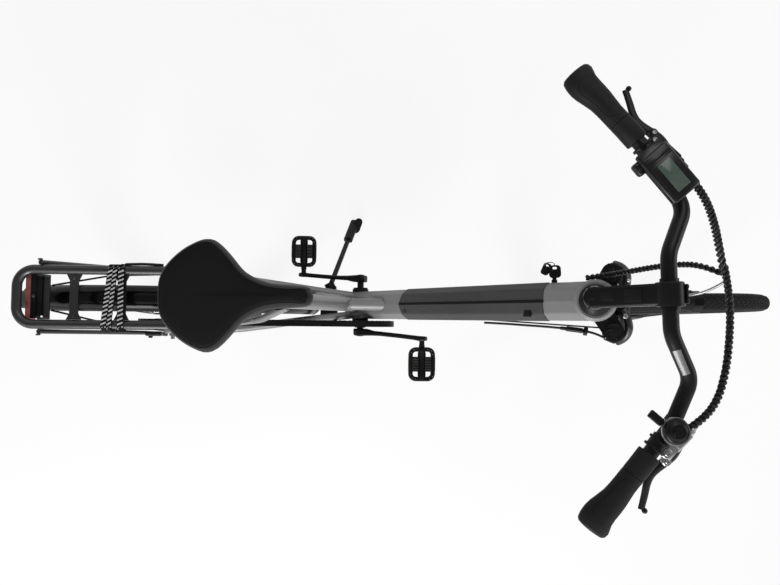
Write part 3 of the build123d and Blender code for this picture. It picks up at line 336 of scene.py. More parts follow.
slotMaterial = {
    "frame_paint": "framePaint", "black_paint": "blackPaint", "rack_paint": "rackPaint",
    "battery_skin": "batterySkin", "black_plastic": "blackPlastic", "guard_plastic": "guardPlastic",
    "display_face": "displayFace", "red_lens": "redLens", "alloy": "alloy", "steel": "steel",
    "chain_steel": "chainSteel", "tyre_rubber": "tyreRubber", "grip_rubber": "gripRubber",
    "saddle_cover": "saddleTop", "strap_web": "strapWeb", "cable_jacket": "cableJacket",
}
for part in frame["record"]["subparts"]:
    material = materials[slotMaterial[part["material_slot"]]]
    mesh = nodes[part["node"]].data
    mesh.materials.clear()
    mesh.materials.append(material)
print("materials made:", len(materials))


# Camera, where the photographer's was over the leaning bicycle
camera = dict(place=(0.005986, -0.036511, 2.029157), focalPixels=665.76, pictureWidth=780, pictureHeight=585,
              sensor=36.0)
cameraRows = ((0.9990891, -0.01240913, -0.04082822),
              (0.01073969, 0.99910725, -0.04085777),
              (0.04129878, 0.04038207, 0.99833046))
eyeData = bpy.data.cameras.new("eye")
eyeData.sensor_width = camera["sensor"]
eyeData.lens = camera["focalPixels"] / camera["pictureWidth"] * camera["sensor"]
eye = linkNew("eye", eyeData)
eye.matrix_world = bikeFrame @ Matrix.Translation(camera["place"]) @ Matrix(cameraRows).to_4x4()
bpy.context.scene.camera = eye

# Studio: white floor that keeps a soft shadow, white world, three soft lamps. A mirrored ray meets the right or the
# left wall, by its direction's Y, between that wall's two edges
studio = dict(floorSize=60.0, floorColour=0.9, floorWhite=0.82, worldStrength=0.42, wallRight=1.9, wallLeft=1.1,
              wallTop=0.4, rightEdge=(-0.3, -0.55), leftEdge=(0.45, 0.75), lampAim=(0, 0, 0.5),
              lamps=(("overLeft", (0.6, 1.6, 2.6), 1.2, 15), ("overRight", (-0.7, -2.1, 1.7), 1.2, 52),
                     ("ahead", (2.6, 0.2, 1.6), 1.2, 14)))


def showsWhite(tree):
    # One where a ray from the camera, or one mirrored or passed on, arrives
    rays = tree.nodes.new("ShaderNodeLightPath")
    seen = joinValues(tree, "MAXIMUM", rays.outputs["Is Camera Ray"], rays.outputs["Is Glossy Ray"])
    return joinValues(tree, "MAXIMUM", seen, rays.outputs["Is Transmission Ray"])


def makeFloor():
    mesh = bpy.data.meshes.new("floor")
    half = studio["floorSize"] / 2
    mesh.from_pydata([(-half, -half, 0), (half, -half, 0), (half, half, 0), (-half, half, 0)], [], [(0, 1, 2, 3)])
    floor = linkNew("floor", mesh)
    material = bpy.data.materials.new("floorWhite")
    material.use_nodes = True
    tree = material.node_tree
    tree.nodes.clear()
    out = tree.nodes.new("ShaderNodeOutputMaterial")
    diffuse = tree.nodes.new("ShaderNodeBsdfDiffuse")
    diffuse.inputs["Color"].default_value = (*[studio["floorColour"]] * 3, 1)
    glow = tree.nodes.new("ShaderNodeEmission")
    mix = tree.nodes.new("ShaderNodeMixShader")
    tree.links.new(rangeOf(tree, showsWhite(tree), 0, 1, 0, studio["floorWhite"]), mix.inputs["Fac"])
    tree.links.new(diffuse.outputs[0], mix.inputs[1])
    tree.links.new(glow.outputs[0], mix.inputs[2])
    tree.links.new(mix.outputs[0], out.inputs["Surface"])
    mesh.materials.append(material)


def makeWorld():
    world = bpy.data.worlds.new("studio")
    bpy.context.scene.world = world
    world.use_nodes = True
    tree = world.node_tree
    background = tree.nodes["Background"]
    background.inputs["Color"].default_value = (1, 1, 1, 1)
    # White to the camera; a mirrored ray finds a bright wall on the right, a softer one on the left and a dim top
    rays = tree.nodes.new("ShaderNodeLightPath")
    coords = tree.nodes.new("ShaderNodeTexCoord")
    parts = tree.nodes.new("ShaderNodeSeparateXYZ")
    tree.links.new(coords.outputs["Generated"], parts.inputs[0])
    plain = rangeOf(tree, rays.outputs["Is Camera Ray"], 0, 1, studio["worldStrength"], 1.0)
    right = rangeOf(tree, parts.outputs["Y"], *studio["rightEdge"], 0.0, studio["wallRight"])
    left = rangeOf(tree, parts.outputs["Y"], *studio["leftEdge"], studio["wallTop"], studio["wallLeft"])
    mirrored = joinValues(tree, "MAXIMUM", rays.outputs["Is Glossy Ray"], rays.outputs["Is Transmission Ray"])
    mix = tree.nodes.new("ShaderNodeMix")
    tree.links.new(mirrored, mix.inputs[0])
    tree.links.new(plain, mix.inputs[2])
    tree.links.new(joinValues(tree, "ADD", right, left), mix.inputs[3])
    tree.links.new(mix.outputs[0], background.inputs["Strength"])


def makeLamps():
    for name, place, size, power in studio["lamps"]:
        data = bpy.data.lights.new(name, "AREA")
        data.size = size
        data.energy = power
        lamp = linkNew(name, data)
        lamp.location = place
        lamp.rotation_euler = (Vector(studio["lampAim"]) - Vector(place)).to_track_quat("-Z", "Y").to_euler()


makeFloor()
makeWorld()
makeLamps()
bpy.context.scene.view_settings.view_transform = "Standard"
print("camera and studio ready")

# Saddle: a crowned cushion on a shell, with a darker flat top inside a raised seam. Each ring is an inset and a
# height; the dish is where the top sinks, how far it reaches and how deep
saddle = dict(
    low=905.0, points=96, spine=(-261.0, -112.0), dish=(-190.0, 80.0, 2.0), sideRings=6, innerShares=(0.35, 0.6, 0.85),
    halfOutline=((-327, 0), (-326.5, 20), (-322, 36), (-311, 54), (-288, 76), (-262, 90), (-248, 93.5),
                 (-233, 89), (-212, 67), (-193, 42), (-172, 29), (-151, 21.5), (-128, 18.8), (-104, 17.6),
                 (-88, 16.6), (-78.5, 13), (-76.5, 0)),
    rings=((3.0, 0), (0.0, 6), (-1.0, 20), (0.8, 33), (3.2, 41), (5.4, 45.2), (6.8, 47.2), (7.5, 46.6),
           (8.4, 47.8), (14.0, 49.6)))


def saddleOutline():
    # The plan from its smooth half, mirrored, with its points evened out
    half = smoothRoute([(x, y, 0) for x, y in saddle["halfOutline"]], 10)
    full = half + [Vector((v.x, -v.y, 0)) for v in half[-2:0:-1]]
    lengths = [0.0]
    for a, b in zip(full, full[1:] + full[:1]):
        lengths.append(lengths[-1] + (b - a).length)
    points = []
    spot = 0
    for i in range(saddle["points"]):
        want = lengths[-1] * i / saddle["points"]
        while lengths[spot + 1] < want:
            spot += 1
        share = (want - lengths[spot]) / max(lengths[spot + 1] - lengths[spot], 1e-6)
        points.append(full[spot].lerp(full[(spot + 1) % len(full)], share))
    return points


def spineOf(point):
    # Where on the saddle's middle line a point of its plan is drawn to
    rear, front = saddle["spine"]
    return Vector((min(max(point.x, rear), front), 0, 0))


def makeSaddle():
    shape = bmesh.new()
    outline = saddleOutline()
    middle, reach, depth = saddle["dish"]
    rings = []
    for inset, height in saddle["rings"]:
        ring = []
        for point in outline:
            spine = spineOf(point)
            moved = point.lerp(spine, min(inset / max((point - spine).length, 1), 0.94))
            dish = depth * max(0.0, 1 - abs(moved.x - middle) / reach) if height > 40 else 0
            ring.append(shape.verts.new((moved.x, moved.y, saddle["low"] + height - dish)))
        rings.append(ring)
    seam = rings[-1]
    for share in saddle["innerShares"]:
        ring = []
        for vert, point in zip(seam, outline):
            place = vert.co.xy.lerp(spineOf(point).xy, share)
            ring.append(shape.verts.new((*place, vert.co.z + 0.5 * share)))
        rings.append(ring)
    joinRings(shape, rings)
    piece = finishShape(shape, "saddleCushion", "frame", "saddleSide", sharp=60, hides=("saddle",))
    piece.data.materials.append(materials["saddleTop"])
    # The faces run from the lowest ring up, and the bottom cap is the last but one
    bottom = len(piece.data.polygons) - 2
    for face in piece.data.polygons:
        face.material_index = int(face.index >= saddle["sideRings"] * saddle["points"] and face.index != bottom)
    shell = bmesh.new()
    addPrism(shell, [(p.x * 0.93 - 14.5, p.y * 0.9) for p in outline], 899.5, 905.5, Matrix.Identity(4), 1.5)
    for x in (-300, -150):
        addBlock(shell, (26, 34, 8), (x, 0, 898), bevel=2)
    finishShape(shell, "saddleShell", "frame", "blackPlastic")


# Tyres: a rounder casing with rows of knobs, each row tilted from the tread's middle by so many degrees
tyre = dict(radius=348.0, round=20.0, seat=310.6, bead=11.8, around=144, knobs=132, knobRows=(-38, -19, 0, 19, 38),
            knobHigh=0.9, knobSunk=0.4, knobHalf=(5.2, 2.3), knobTaper=0.74, knobSlant=0.5)
rim = dict(inner=293.0, spokes=36)


def makeTyre(name, node, body, axle, place):
    centre = tyre["radius"] - tyre["round"]
    size = tyre["round"] - tyre["knobHigh"]
    section = []
    for i in range(15):
        angle = math.radians(-36 + 252 * i / 14)
        section.append((size * math.cos(angle), centre + size * math.sin(angle)))
    # The beads reach down to the rim
    section = [(tyre["bead"], tyre["seat"])] + section + [(-tyre["bead"], tyre["seat"])]
    shape = bmesh.new()
    joinRings(shape, [[shape.verts.new(axle + Vector((math.sin(turn) * r, y, math.cos(turn) * r))) for y, r in section]
                      for turn in roundAngles(tyre["around"])], closed=True)
    finishShape(shape, name, body, "tyreRubber", place, 50, (node,))
    knob = bmesh.new()
    long, wide = tyre["knobHalf"]
    for i in range(tyre["knobs"]):
        for row, tilt in enumerate(tyre["knobRows"]):
            turn = 2 * math.pi * (i + 0.5 * (row % 2)) / tyre["knobs"]
            out = Vector((math.sin(turn), 0, math.cos(turn)))
            along = Vector((math.cos(turn), 0, -math.sin(turn)))
            angle = math.radians(90 - tilt)
            normal = (out * math.sin(angle) + Vector((0, 1, 0)) * math.cos(angle)).normalized()
            slant = tyre["knobSlant"] * ((tilt > 0) - (tilt < 0))
            length = (along + along.cross(normal).normalized() * slant).normalized()
            width = length.cross(normal).normalized()
            base = axle + out * centre + normal * (size - tyre["knobSunk"])
            corners = [length * a * long + width * b * wide for a, b in ((-1, -1), (1, -1), (1, 1), (-1, 1))]
            rise = normal * (tyre["knobHigh"] + tyre["knobSunk"])
            addLug(knob, [base + c for c in corners], [base + c * tyre["knobTaper"] + rise for c in corners])
    finishShape(knob, name + "Tread", body, "treadRubber", place, 30)
    valve = bmesh.new()
    way = Vector((0.6, 0, -0.8))
    addTurned(valve, ((3.4, 0), (3.4, 5), (2.6, 6), (2.6, 28), (3.6, 29), (3.6, 38), (2.2, 40)),
              axle + way * rim["inner"], -way, 14)
    finishShape(valve, name + "Valve", body, "darkSteel", place)


def makeNipples(name, body, axle, place):
    # Where the spokes meet the rim, by turns on its two sides
    nipples = bmesh.new()
    for k, angle in enumerate(roundAngles(rim["spokes"])):
        out = Vector((math.cos(angle), 0, math.sin(angle)))
        foot = axle + out * rim["inner"] + Vector((0, 3 if k % 2 == 0 else -3, 0))
        addTurned(nipples, ((1.9, 0), (1.9, 9), (1.3, 12)), foot, -out, 8)
    finishShape(nipples, name, body, "steel", place)


# What the bar carries lies along each grip's own line, from its outer end to the bar's bend
gripEnd = Vector((328, 330, 1071))
barBend = Vector((440, 186, 1094))
gripWay = (gripEnd - barBend).normalized()


def gripSpot(side, back):
    return onSide(side, gripEnd - gripWay * back)


# Each station: distance from the outer end, half width in front and behind, half height
grips = dict(
    stations=((-4, 15, 16, 11), (-3, 20, 21, 15), (0, 23, 24, 17.5), (6, 24.2, 25.6, 18.5), (12, 22.5, 26.4, 18.8),
              (20, 19.6, 26.6, 18.8), (30, 18.8, 25.2, 18.4), (42, 19.2, 21.8, 17.8), (54, 18.9, 18.8, 17.2),
              (66, 17.6, 17.8, 16.6), (78, 16.5, 17.5, 16.2), (90, 16.6, 17.4, 16.4), (95.2, 16.8, 17.2, 16.6),
              (95.9, 16.0, 16.4, 15.8), (96.6, 16.8, 17.2, 16.6), (108, 17.0, 17.0, 16.9),
              (132.5, 17.2, 17.2, 17.2), (134, 16.4, 16.4, 16.4), (134.4, 12, 12, 12)),
    sides=40, panel=dict(first=14.0, last=88.0, spread=52.0, steps=24, corner=5))


def gripShape(side, back, angle, lift=0.0):
    # A place on the grip: the angle runs from the front over the top
    stations = grips["stations"]
    low = max(i for i in range(len(stations) - 1) if stations[i][0] <= back or i == 0)
    one, two = stations[low], stations[low + 1]
    share = min(max((back - one[0]) / (two[0] - one[0]), 0), 1)
    fore, rear, high = (a + (b - a) * share for a, b in zip(one[1:], two[1:]))
    ahead = Vector((gripWay.y, -side * gripWay.x, 0)).normalized()
    up = ahead.cross(onSide(side, gripWay)) * side
    wide = fore if math.cos(angle) > 0 else rear
    return gripSpot(side, back) + ahead * ((wide + lift) * math.cos(angle)) + up * ((high + lift) * math.sin(angle))


def panelOutline(side):
    # Round the inset panel over the palm rest, with eased corners
    panel = grips["panel"]
    steps = panel["steps"]
    path = []
    for over, row in ((-1, range(steps + 1)), (1, range(steps, -1, -1))):
        for k in row:
            edge = min(min(k, steps - k) / panel["corner"], 1)
            angle = math.radians(90 + over * panel["spread"] * math.sqrt(1 - (1 - edge) ** 2))
            path.append(gripShape(side, panel["first"] + (panel["last"] - panel["first"]) * k / steps, angle, -0.1))
    return path


def makeGrips():
    shape = bmesh.new()
    line = bmesh.new()
    for side in (-1, 1):
        joinRings(shape, [[shape.verts.new(gripShape(side, station[0], angle)) for angle in roundAngles(grips["sides"])]
                          for station in grips["stations"]])
        addTube(line, panelOutline(side), 0.6, 6)
    finishShape(shape, "gripRubbers", "steering", "gripRubber", steeredFrame, 30, ("grips",))
    finishShape(line, "gripPanels", "steering", "saddleTop", steeredFrame)


# Each lever: the blade's line and widths, two clamp rings, a sleeve between them, two bolt heads on a bracket
levers = dict(
    blade=((456, 203, 1087), (449, 224, 1084), (433, 240, 1080), (417, 255, 1075), (411, 270, 1071), (409, 290, 1066),
           (405, 309, 1062)),
    widths=(8.4, 8.6, 8.0, 6.8, 6.2, 5.8, 5.6, 5.4, 5.0), sides=12, bladeFlat=0.55, tip=(410, 312, 1062), tipSize=4.4,
    clamps=(146.6, 159.1), sleeve=164, pivot=(431, 224, 1093), reach=(432, 236, 1090), barrel=(467, 197, 1090))


def makeLevers():
    blades = bmesh.new()
    brackets = {1: bmesh.new(), -1: bmesh.new()}
    bolts = bmesh.new()
    for side, bracket in brackets.items():
        along = onSide(side, gripWay)
        path = smoothRoute([onSide(side, place) for place in levers["blade"]], 8)
        start = len(blades.verts)
        addTube(blades, path, [between(levers["widths"], i / (len(path) - 1)) for i in range(len(path))],
                levers["sides"])
        blades.verts.ensure_lookup_table()
        for k, vert in enumerate(blades.verts[start:]):
            height = path[k // levers["sides"]].z
            vert.co.z = height + (vert.co.z - height) * levers["bladeFlat"]
        tip = Matrix.Translation(onSide(side, levers["tip"]))
        bmesh.ops.create_icosphere(blades, subdivisions=2, radius=levers["tipSize"], matrix=tip)
        for back in levers["clamps"]:
            addTurned(blades, ((11.3, 0), (15.4, 0.3), (15.8, 1.2), (15.8, 3.4), (15.4, 4.4), (11.3, 4.6)),
                      gripSpot(side, back), along, 28)
        addTurned(blades, ((11.3, 0), (13.2, 0), (13.2, 22), (11.3, 22)), gripSpot(side, levers["sleeve"]), along, 28)
        turn = Matrix(((0.72, side * 0.69, 0), (-side * 0.69, 0.72, 0), (0, 0, 1))).to_4x4()
        addBlock(bracket, (34, 15, 13), onSide(side, (456, 208, 1088)), turn, bevel=3.4, segments=3)
        addBlock(bracket, (24, 20, 8), onSide(side, (436, 220, 1092)), turn, bevel=2.6, segments=2)
        pivot, reach = onSide(side, levers["pivot"]), onSide(side, levers["reach"])
        addTurned(bracket, ((6.4, -4), (7.6, -3), (7.6, 3.4), (6.4, 4.4)), pivot, (0, 0, 1), 20)
        addTurned(bracket, ((5.6, -5), (6.6, -4), (6.6, 2.4), (5.6, 3.4)), reach, (0, 0, 1), 20)
        addTurned(bolts if side < 0 else bracket, ((5.0, 0), (5.8, 0.2), (6.0, 6), (4.0, 9), (3.2, 17), (2.8, 18)),
                  onSide(side, levers["barrel"]), (0.72, -0.69 * side, 0.06), 16)
        addTurned(bolts, ((3.8, 4.2), (3.8, 5.8), (3.2, 6.4), (2.2, 6.4), (2.0, 5.2)), pivot, (0, 0, 1), 16)
        addTurned(bolts, ((3.2, 3.2), (3.2, 4.8), (2.6, 5.4), (1.8, 5.4), (1.6, 4.2)), reach, (0, 0, 1), 16)
    finishShape(blades, "brakeLeverPair", "steering", "blackPaint", steeredFrame, 40, ("brake_levers",))
    finishShape(brackets[1], "leftLeverBracket", "steering", "blackPaint", steeredFrame, 40)
    finishShape(brackets[-1], "rightLeverBracket", "steering", "steel", steeredFrame, 40)
    finishShape(bolts, "leverBolts", "steering", "steel", steeredFrame)


# Display: its case on a foot, a small pod with two buttons beside it
displayLook = dict(centre=(436, 169, 1126), size=(78, 50, 13), glass=(46, 22.5, 1.2), pod=(400, 179, 1118), slope=-14)


def makeDisplay():
    turn = Matrix(((0.63, 0.77, 0), (-0.77, 0.63, 0), (0, 0, 1))).to_4x4()
    centre, pod = Vector(displayLook["centre"]), Vector(displayLook["pod"])
    case = bmesh.new()
    slope = turn @ Matrix.Rotation(math.radians(displayLook["slope"]), 4, "Y")
    addBlock(case, displayLook["size"], centre, turn, bevel=4.5, segments=3)
    addBlock(case, (56, 42, 3), centre + turn.to_3x3() @ Vector((6, 0, 6.6)), turn, bevel=1.4)
    addBlock(case, (24, 46, 9), centre + turn.to_3x3() @ Vector((-35, 0, 0.5)), slope, bevel=3)
    addBlock(case, (20, 14, 24), (443, 160, 1110), turn, bevel=3)
    addBlock(case, (20, 22, 13), pod, turn, bevel=4, segments=3)
    addBlock(case, (14, 18, 18), (412, 186, 1108), turn, bevel=3)
    finishShape(case, "displayCase", "steering", "displayFace", steeredFrame, 35, ("display",))
    glass = bmesh.new()
    addBlock(glass, displayLook["glass"], centre + turn.to_3x3() @ Vector((5, 0, 8.3)), turn, bevel=0.5)
    finishShape(glass, "displayPanel", "steering", "panelGlass", steeredFrame)
    keys = bmesh.new()
    for k in (-1, 1):
        spot = pod + turn.to_3x3() @ Vector((0, 5.0 * k, 6.4))
        addTurned(keys, ((3.4, 0), (3.4, 1.2), (2.7, 2.0)), spot, (0, 0, 1), 18)
    finishShape(keys, "displayButtons", "steering", "gripRubber", steeredFrame)


# Bell: a stepped dome of radius and height over a bright rim, and its striker's lever
bellLook = dict(
    centre=(436, -190, 1113), clampBack=186, leverTurn=-41,
    dome=((18.4, 2), (18.6, 6.5), (17.4, 9.4), (14.8, 11.0), (14.2, 10.4), (13.4, 11.2), (8.8, 12.2), (8.2, 11.4),
          (7.4, 12.3), (3.0, 12.8)))


def makeBell():
    shape = bmesh.new()
    middle = Vector(bellLook["centre"])
    turn = Matrix.Rotation(math.radians(bellLook["leverTurn"]), 4, "Z")
    addTurned(shape, ((12, -13), (13, -3), (16, 0)), middle, (0, 0, 1), 32)
    addTurned(shape, bellLook["dome"], middle, (0, 0, 1), 40)
    addTurned(shape, ((11.3, 0), (14.6, 0), (14.6, 9), (11.3, 9)), gripSpot(-1, bellLook["clampBack"]),
              -onSide(-1, gripWay), 24)
    addBlock(shape, (23, 12, 5.5), (410.5, -171.5, 1111), turn, bevel=2, segments=3)
    addBlock(shape, (14, 6, 4), (423, -181, 1109), turn, bevel=1.4)
    finishShape(shape, "bellDome", "steering", "blackPaint", steeredFrame, 40, ("bell",))
    lip = bmesh.new()
    addTurned(lip, ((17, -0.6), (19.8, -0.4), (20.2, 1.0), (19.6, 2.4), (18, 2.6)), middle, (0, 0, 1), 40)
    finishShape(lip, "bellRim", "steering", "steel", steeredFrame, 40)


# A blank label on the bar, laid on it where the camera sees it
barLabel = dict(corners=((672.6, 351.5), (680.6, 349.5), (690.4, 373.5), (683.0, 376.0)), rows=8, columns=5,
                lift=0.0004)


def castFrom(name, place, way):
    # Where a line through the bicycle's frame, in metres, first meets a piece, and the normal there
    world = nodes[name].matrix_world
    local = world.inverted()
    way = local.to_3x3() @ (bikeFrame.to_3x3() @ way)
    hit, spot, normal, _ = nodes[name].ray_cast(local @ (bikeFrame @ place), way)
    return (world, spot, normal) if hit else None


def makeBarLabel():
    shape = bmesh.new()
    grid = []
    a, b, c, d = (Vector(corner) for corner in barLabel["corners"])
    for i in range(barLabel["rows"]):
        row = []
        for j in range(barLabel["columns"]):
            share, over = i / (barLabel["rows"] - 1), j / (barLabel["columns"] - 1)
            spot = a.lerp(d, share).lerp(b.lerp(c, share), over)
            way = Matrix(cameraRows) @ Vector(((spot.x - camera["pictureWidth"] / 2) / camera["focalPixels"],
                                               (camera["pictureHeight"] / 2 - spot.y) / camera["focalPixels"], -1))
            met = castFrom("handlebar", Vector(camera["place"]), way)
            if not met:
                shape.free()
                print("label left out")
                return
            world, place, normal = met
            row.append(shape.verts.new((toBike @ world @ (place + normal * barLabel["lift"])) * 1000))
        grid.append(row)
    for low, high in zip(grid, grid[1:]):
        for j in range(len(low) - 1):
            shape.faces.new((low[j], low[j + 1], high[j + 1], high[j]))
    finishShape(shape, "barLabel", "steering", "alloy", bikeFrame, 60)


# Stem: an arm from its hinge to the bar's clamp, on a barrel over the head tube
stemLook = dict(pivot=(357.5, 0, 1034.5), clamp=(434, 0, 1118), half=15.5, foot=621.6, top=735.0)


def makeStem():
    shape = bmesh.new()
    # The arm's outline is drawn flat and stood up by this turn
    upright = Matrix(((1, 0, 0, 0), (0, 0, -1, 0), (0, 1, 0, 0), (0, 0, 0, 1)))
    pivot, clamp = Vector(stemLook["pivot"]), Vector(stemLook["clamp"])
    way = (clamp - pivot).normalized()
    normal = Vector((-way.z, 0, way.x))
    outline = []
    for end, turn, sizes in ((pivot, math.pi / 2, (18, *[13] * 11, 18)), (clamp, -math.pi / 2, [17] * 13)):
        for k, size in enumerate(sizes):
            angle = turn + math.pi * k / 12
            outline.append(end + size * (math.cos(angle) * way + math.sin(angle) * normal))
    addPrism(shape, [(v.x, v.z) for v in outline], -stemLook["half"], stemLook["half"], upright, 4.5, 3)
    addTurned(shape, ((13.2, 0), (19.5, 0), (20, 2), (20, 32), (18.5, 34), (13.2, 34)), clamp - Vector((0, 17, 0)),
              (0, 1, 0), 36)
    # The hinge end is round seen from above, with a faceted cone on it
    addTurned(shape, ((12, -17), (16.6, -15), (17.4, -10), (17.4, 10), (16.4, 13.5), (13.5, 15)), pivot, steerAxis, 36)
    addTurned(shape, ((13.0, 14.6), (2.6, 19.5)), pivot, steerAxis, 9)
    finishShape(shape, "stemArm", "steering", "blackPaint", steeredFrame, 24)
    barrel = bmesh.new()
    high = stemLook["top"] - stemLook["foot"]
    addTurned(barrel, ((15.0, 0), (27.5, 0), (27.5, 3), (23, 8), (17.6, 12), (17, 20), (17, high - 16),
                       (15.5, high - 10)), (0, 0, stemLook["foot"]), (0, 0, 1), 40)
    finishShape(barrel, "stemBarrel", "steering", "blackPaint", forkFrame, 40, ("stem",))
    panel = bmesh.new()
    turn = Matrix.Rotation(-math.atan2(way.z, way.x), 4, "Y")
    for share, size in ((0.6, (27, 19, 3)), (0.25, (20, 12, 2))):
        addBlock(panel, size, pivot.lerp(clamp, share) + normal * 17.2, turn, bevel=1.0)
    addBlock(panel, (3, 27, 30), clamp + Vector((18.5, 0, 0)), bevel=1.2)
    finishShape(panel, "stemPanels", "steering", "blackPlastic", steeredFrame)
    bolts = bmesh.new()
    for y in (-10, 10):
        for z in (-9, 9):
            addTurned(bolts, ((3.6, 0), (3.6, 2.6), (2.6, 3.2)), clamp + Vector((19.2, y, z)), (1, 0, 0), 14)
    for side in (-1, 1):
        addTurned(bolts, ((5.4, 0), (5.4, 2), (3.8, 3)), pivot + Vector((0, side * 15.2, 0)), (0, side, 0), 18)
    finishShape(bolts, "stemBolts", "steering", "darkSteel", steeredFrame)


# Fork: a ribbed dial on top of each leg, and the crown's shoulder beside it
forkLook = dict(
    knob=(31.0, 56.5, 472.0), ribs=3, teeth=20, toothRing=18.0,
    shoulder=((50, 14, 452), (58, 32, 455), (60, 54, 452), (50, 72, 440), (38, 77, 424)))


def makeFork():
    ribs = bmesh.new()
    crown = bmesh.new()
    bolts = bmesh.new()
    for side in (-1, 1):
        middle = onSide(side, forkLook["knob"])
        addTurned(ribs, ((14.5, -0.5), (15.8, 0.2), (16.2, 1.8), (14.8, 2.2), (13.8, 1.0), (6, 1.4), (4.4, 2.2)),
                  middle, (0, 0, 1), 36)
        for start in roundAngles(forkLook["ribs"]):
            # Raised curved ribs of the dial
            addTube(ribs, [middle + Matrix.Rotation(start + 0.32 * i, 3, "Z") @ Vector((4 + 3.4 * i, 0, 1.6))
                           for i in range(4)], 1.5, 8)
        for angle in roundAngles(forkLook["teeth"]):
            out = Vector((math.cos(angle), math.sin(angle), 0)) * forkLook["toothRing"]
            addBlock(ribs, (1.6, 2.4, 9), middle + out - Vector((0, 0, 6)), Matrix.Rotation(angle, 4, "Z"), 0.6, 1)
        route = smoothRoute([onSide(side, place) for place in forkLook["shoulder"]], 8)
        addTube(crown, route, [7.6 - 2.2 * abs(i / (len(route) - 1) - 0.4) for i in range(len(route))], 14)
        addTurned(bolts, ((4.6, 0), (4.6, 4), (3.4, 5)), (52, side * 27, 462), (0.2, 0, 1), 14)
    addTurned(bolts, ((3.6, 0), (3.6, 5), (2.4, 6)), (60, 40, 462), (0.2, 0.1, 1), 14)
    finishShape(ribs, "forkDials", "steering", "blackPlastic", forkFrame)
    finishShape(crown, "crownShoulders", "steering", "darkSteel", forkFrame)
    finishShape(bolts, "crownBolts", "steering", "steel", forkFrame)


# Headlamp: a shell open to the front, its bracket, and a stepped lens
lampLook = dict(middle=(597, 0, 797), way=(1, 0, 0.02), lens=(623, 0, 797.4))


def makeLamp():
    shape = bmesh.new()
    addTurned(shape, ((8, -24), (15, -22), (18.4, -14), (19, 4), (19.6, 22), (20.4, 24), (20.4, 26.5), (18.5, 26.5)),
              lampLook["middle"], lampLook["way"], 40)
    addBlock(shape, (62, 9, 4), (554, 0, 783.5), bevel=1.2)
    addBlock(shape, (4, 12, 50), (498, 0, 762), bevel=1)
    addTurned(shape, ((4.5, -7), (4.5, 7)), (586, 0, 779), (0, 1, 0), 16)
    finishShape(shape, "lampBody", "steering", "blackPlastic", steeredFrame, 40, ("headlamp",))
    lens = bmesh.new()
    addTurned(lens, ((18.2, 0), (18.2, 1.5), (14, 3.4), (7, 4.6), (2, 4.9)), lampLook["lens"], lampLook["way"], 40)
    finishShape(lens, "lampLens", "steering", "clearLens", steeredFrame)


# Cables: a bound bundle from each side of the bar, one rope-like bundle down into the frame
cableRoutes = dict(
    left=((456, 196, 1091), (478, 172, 1098), (503, 138, 1096), (524, 104, 1078), (540, 66, 1060), (551, 34, 1049)),
    right=((456, -196, 1091), (480, -184, 1092), (512, -156, 1086), (536, -112, 1070), (550, -66, 1058),
           (558, -20, 1050), (556, 22, 1048), (550, 44, 1052)),
    frame=((551, 38, 1046), (532, 54, 1018), (506, 57, 988), (474, 53, 965), (444, 47, 940), (416, 43, 912),
           (394, 40, 888)),
    front=((556, 22, 1046), (546, 8, 1016), (524, 2, 985), (510, 8, 930), (524, 14, 840), (534, 12, 776)),
    motor=((258, -40.5, 660), (296, -42, 682), (330, -44.5, 700), (372, -47, 724), (408, -50.5, 740),
           (440, -54.5, 750), (462, -60, 748), (478, -66, 738)))
# The motor cable's plug and its neck: where each ends along X, and its radius
plugSteps = ((396, 2.4), (404, 3.6), (436, 5.2), (480, 2.4))
plugRing = 440


def makeCables():
    routes = {name: smoothRoute(points, 12) for name, points in cableRoutes.items()}
    core = bmesh.new()
    # The left bundle's pale core shows between the wrap's turns as painted highlights
    addTube(core, routes["left"], 3.6, 12)
    finishShape(core, "leftCables", "steering", "paintedHighlightJacket", steeredFrame, hides=("bar_cables",))
    wrap = bmesh.new()
    for k in range(2):
        addTube(wrap, coilRound(routes["right"], 2.9, 19, math.pi * k, 12), 3.1, 8)
        addTube(wrap, coilRound(routes["left"], 3.6, 13, math.pi * k, 12), 2.7, 8)
    for side, name in ((1, "left"), (-1, "right")):
        start = routes[name][0]
        addTurned(wrap, ((3.2, 0), (4.2, 3), (4.2, 14), (3.2, 17)), start - Vector((9, -side * 3, 0)),
                  routes[name][1] - routes[name][0], 14)
    finishShape(wrap, "cableWraps", "steering", "cableJacket", steeredFrame)
    rope = bmesh.new()
    for k in range(2):
        addTube(rope, coilRound(routes["frame"], 2.5, 16, math.pi * k, 12), 2.7, 8)
    piece = finishShape(rope, "frameRope", "frame", "cableJacket", hides=("frame_cables",), rides=False)
    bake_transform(piece)
    front = bmesh.new()
    addTube(front, routes["front"], 2.3, 10)
    finishShape(front, "frontBrakeCable", "steering", "steel", steeredFrame)
    motor = bmesh.new()
    path = routes["motor"]
    addTube(motor, path, [next(radius for end, radius in plugSteps if point.x <= end) for point in path], 12)
    near = min(range(len(path)), key=lambda i: abs(path[i].x - plugRing))
    addTurned(motor, ((3, -4), (8.5, -3.4), (8.5, 2.6), (3, 3.4)), path[near], path[near + 1] - path[near - 1], 20)
    piece = finishShape(motor, "motorCable", "frame", "cableJacket", hides=("motor_cable",),
                        rides=False)
    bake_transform(piece)


# Rack: flat straps over the rails with pale slanting threads, cord along each rail, bolts
straps = dict(
    halfWidth=61.0, railTop=752.0, railRound=9.0, thick=2.4, bands=(((-470, -482.5), 10.5), ((-461, -472), 8.5),
                                                                    ((-450.5, -450.5), 11.0)),
    threads=15, threadSpan=57.5, threadHalf=1.5, threadSlant=2.2, threadLift=0.25,
    cords=(((-446, 63.4, 744), (-425, 64.2, 745), (-400, 64.2, 744), (-376, 63, 742)),
           ((-470, -63.4, 744), (-446, -64.2, 743), (-424, -64.8, 741), (-402, -65.5, 738))))


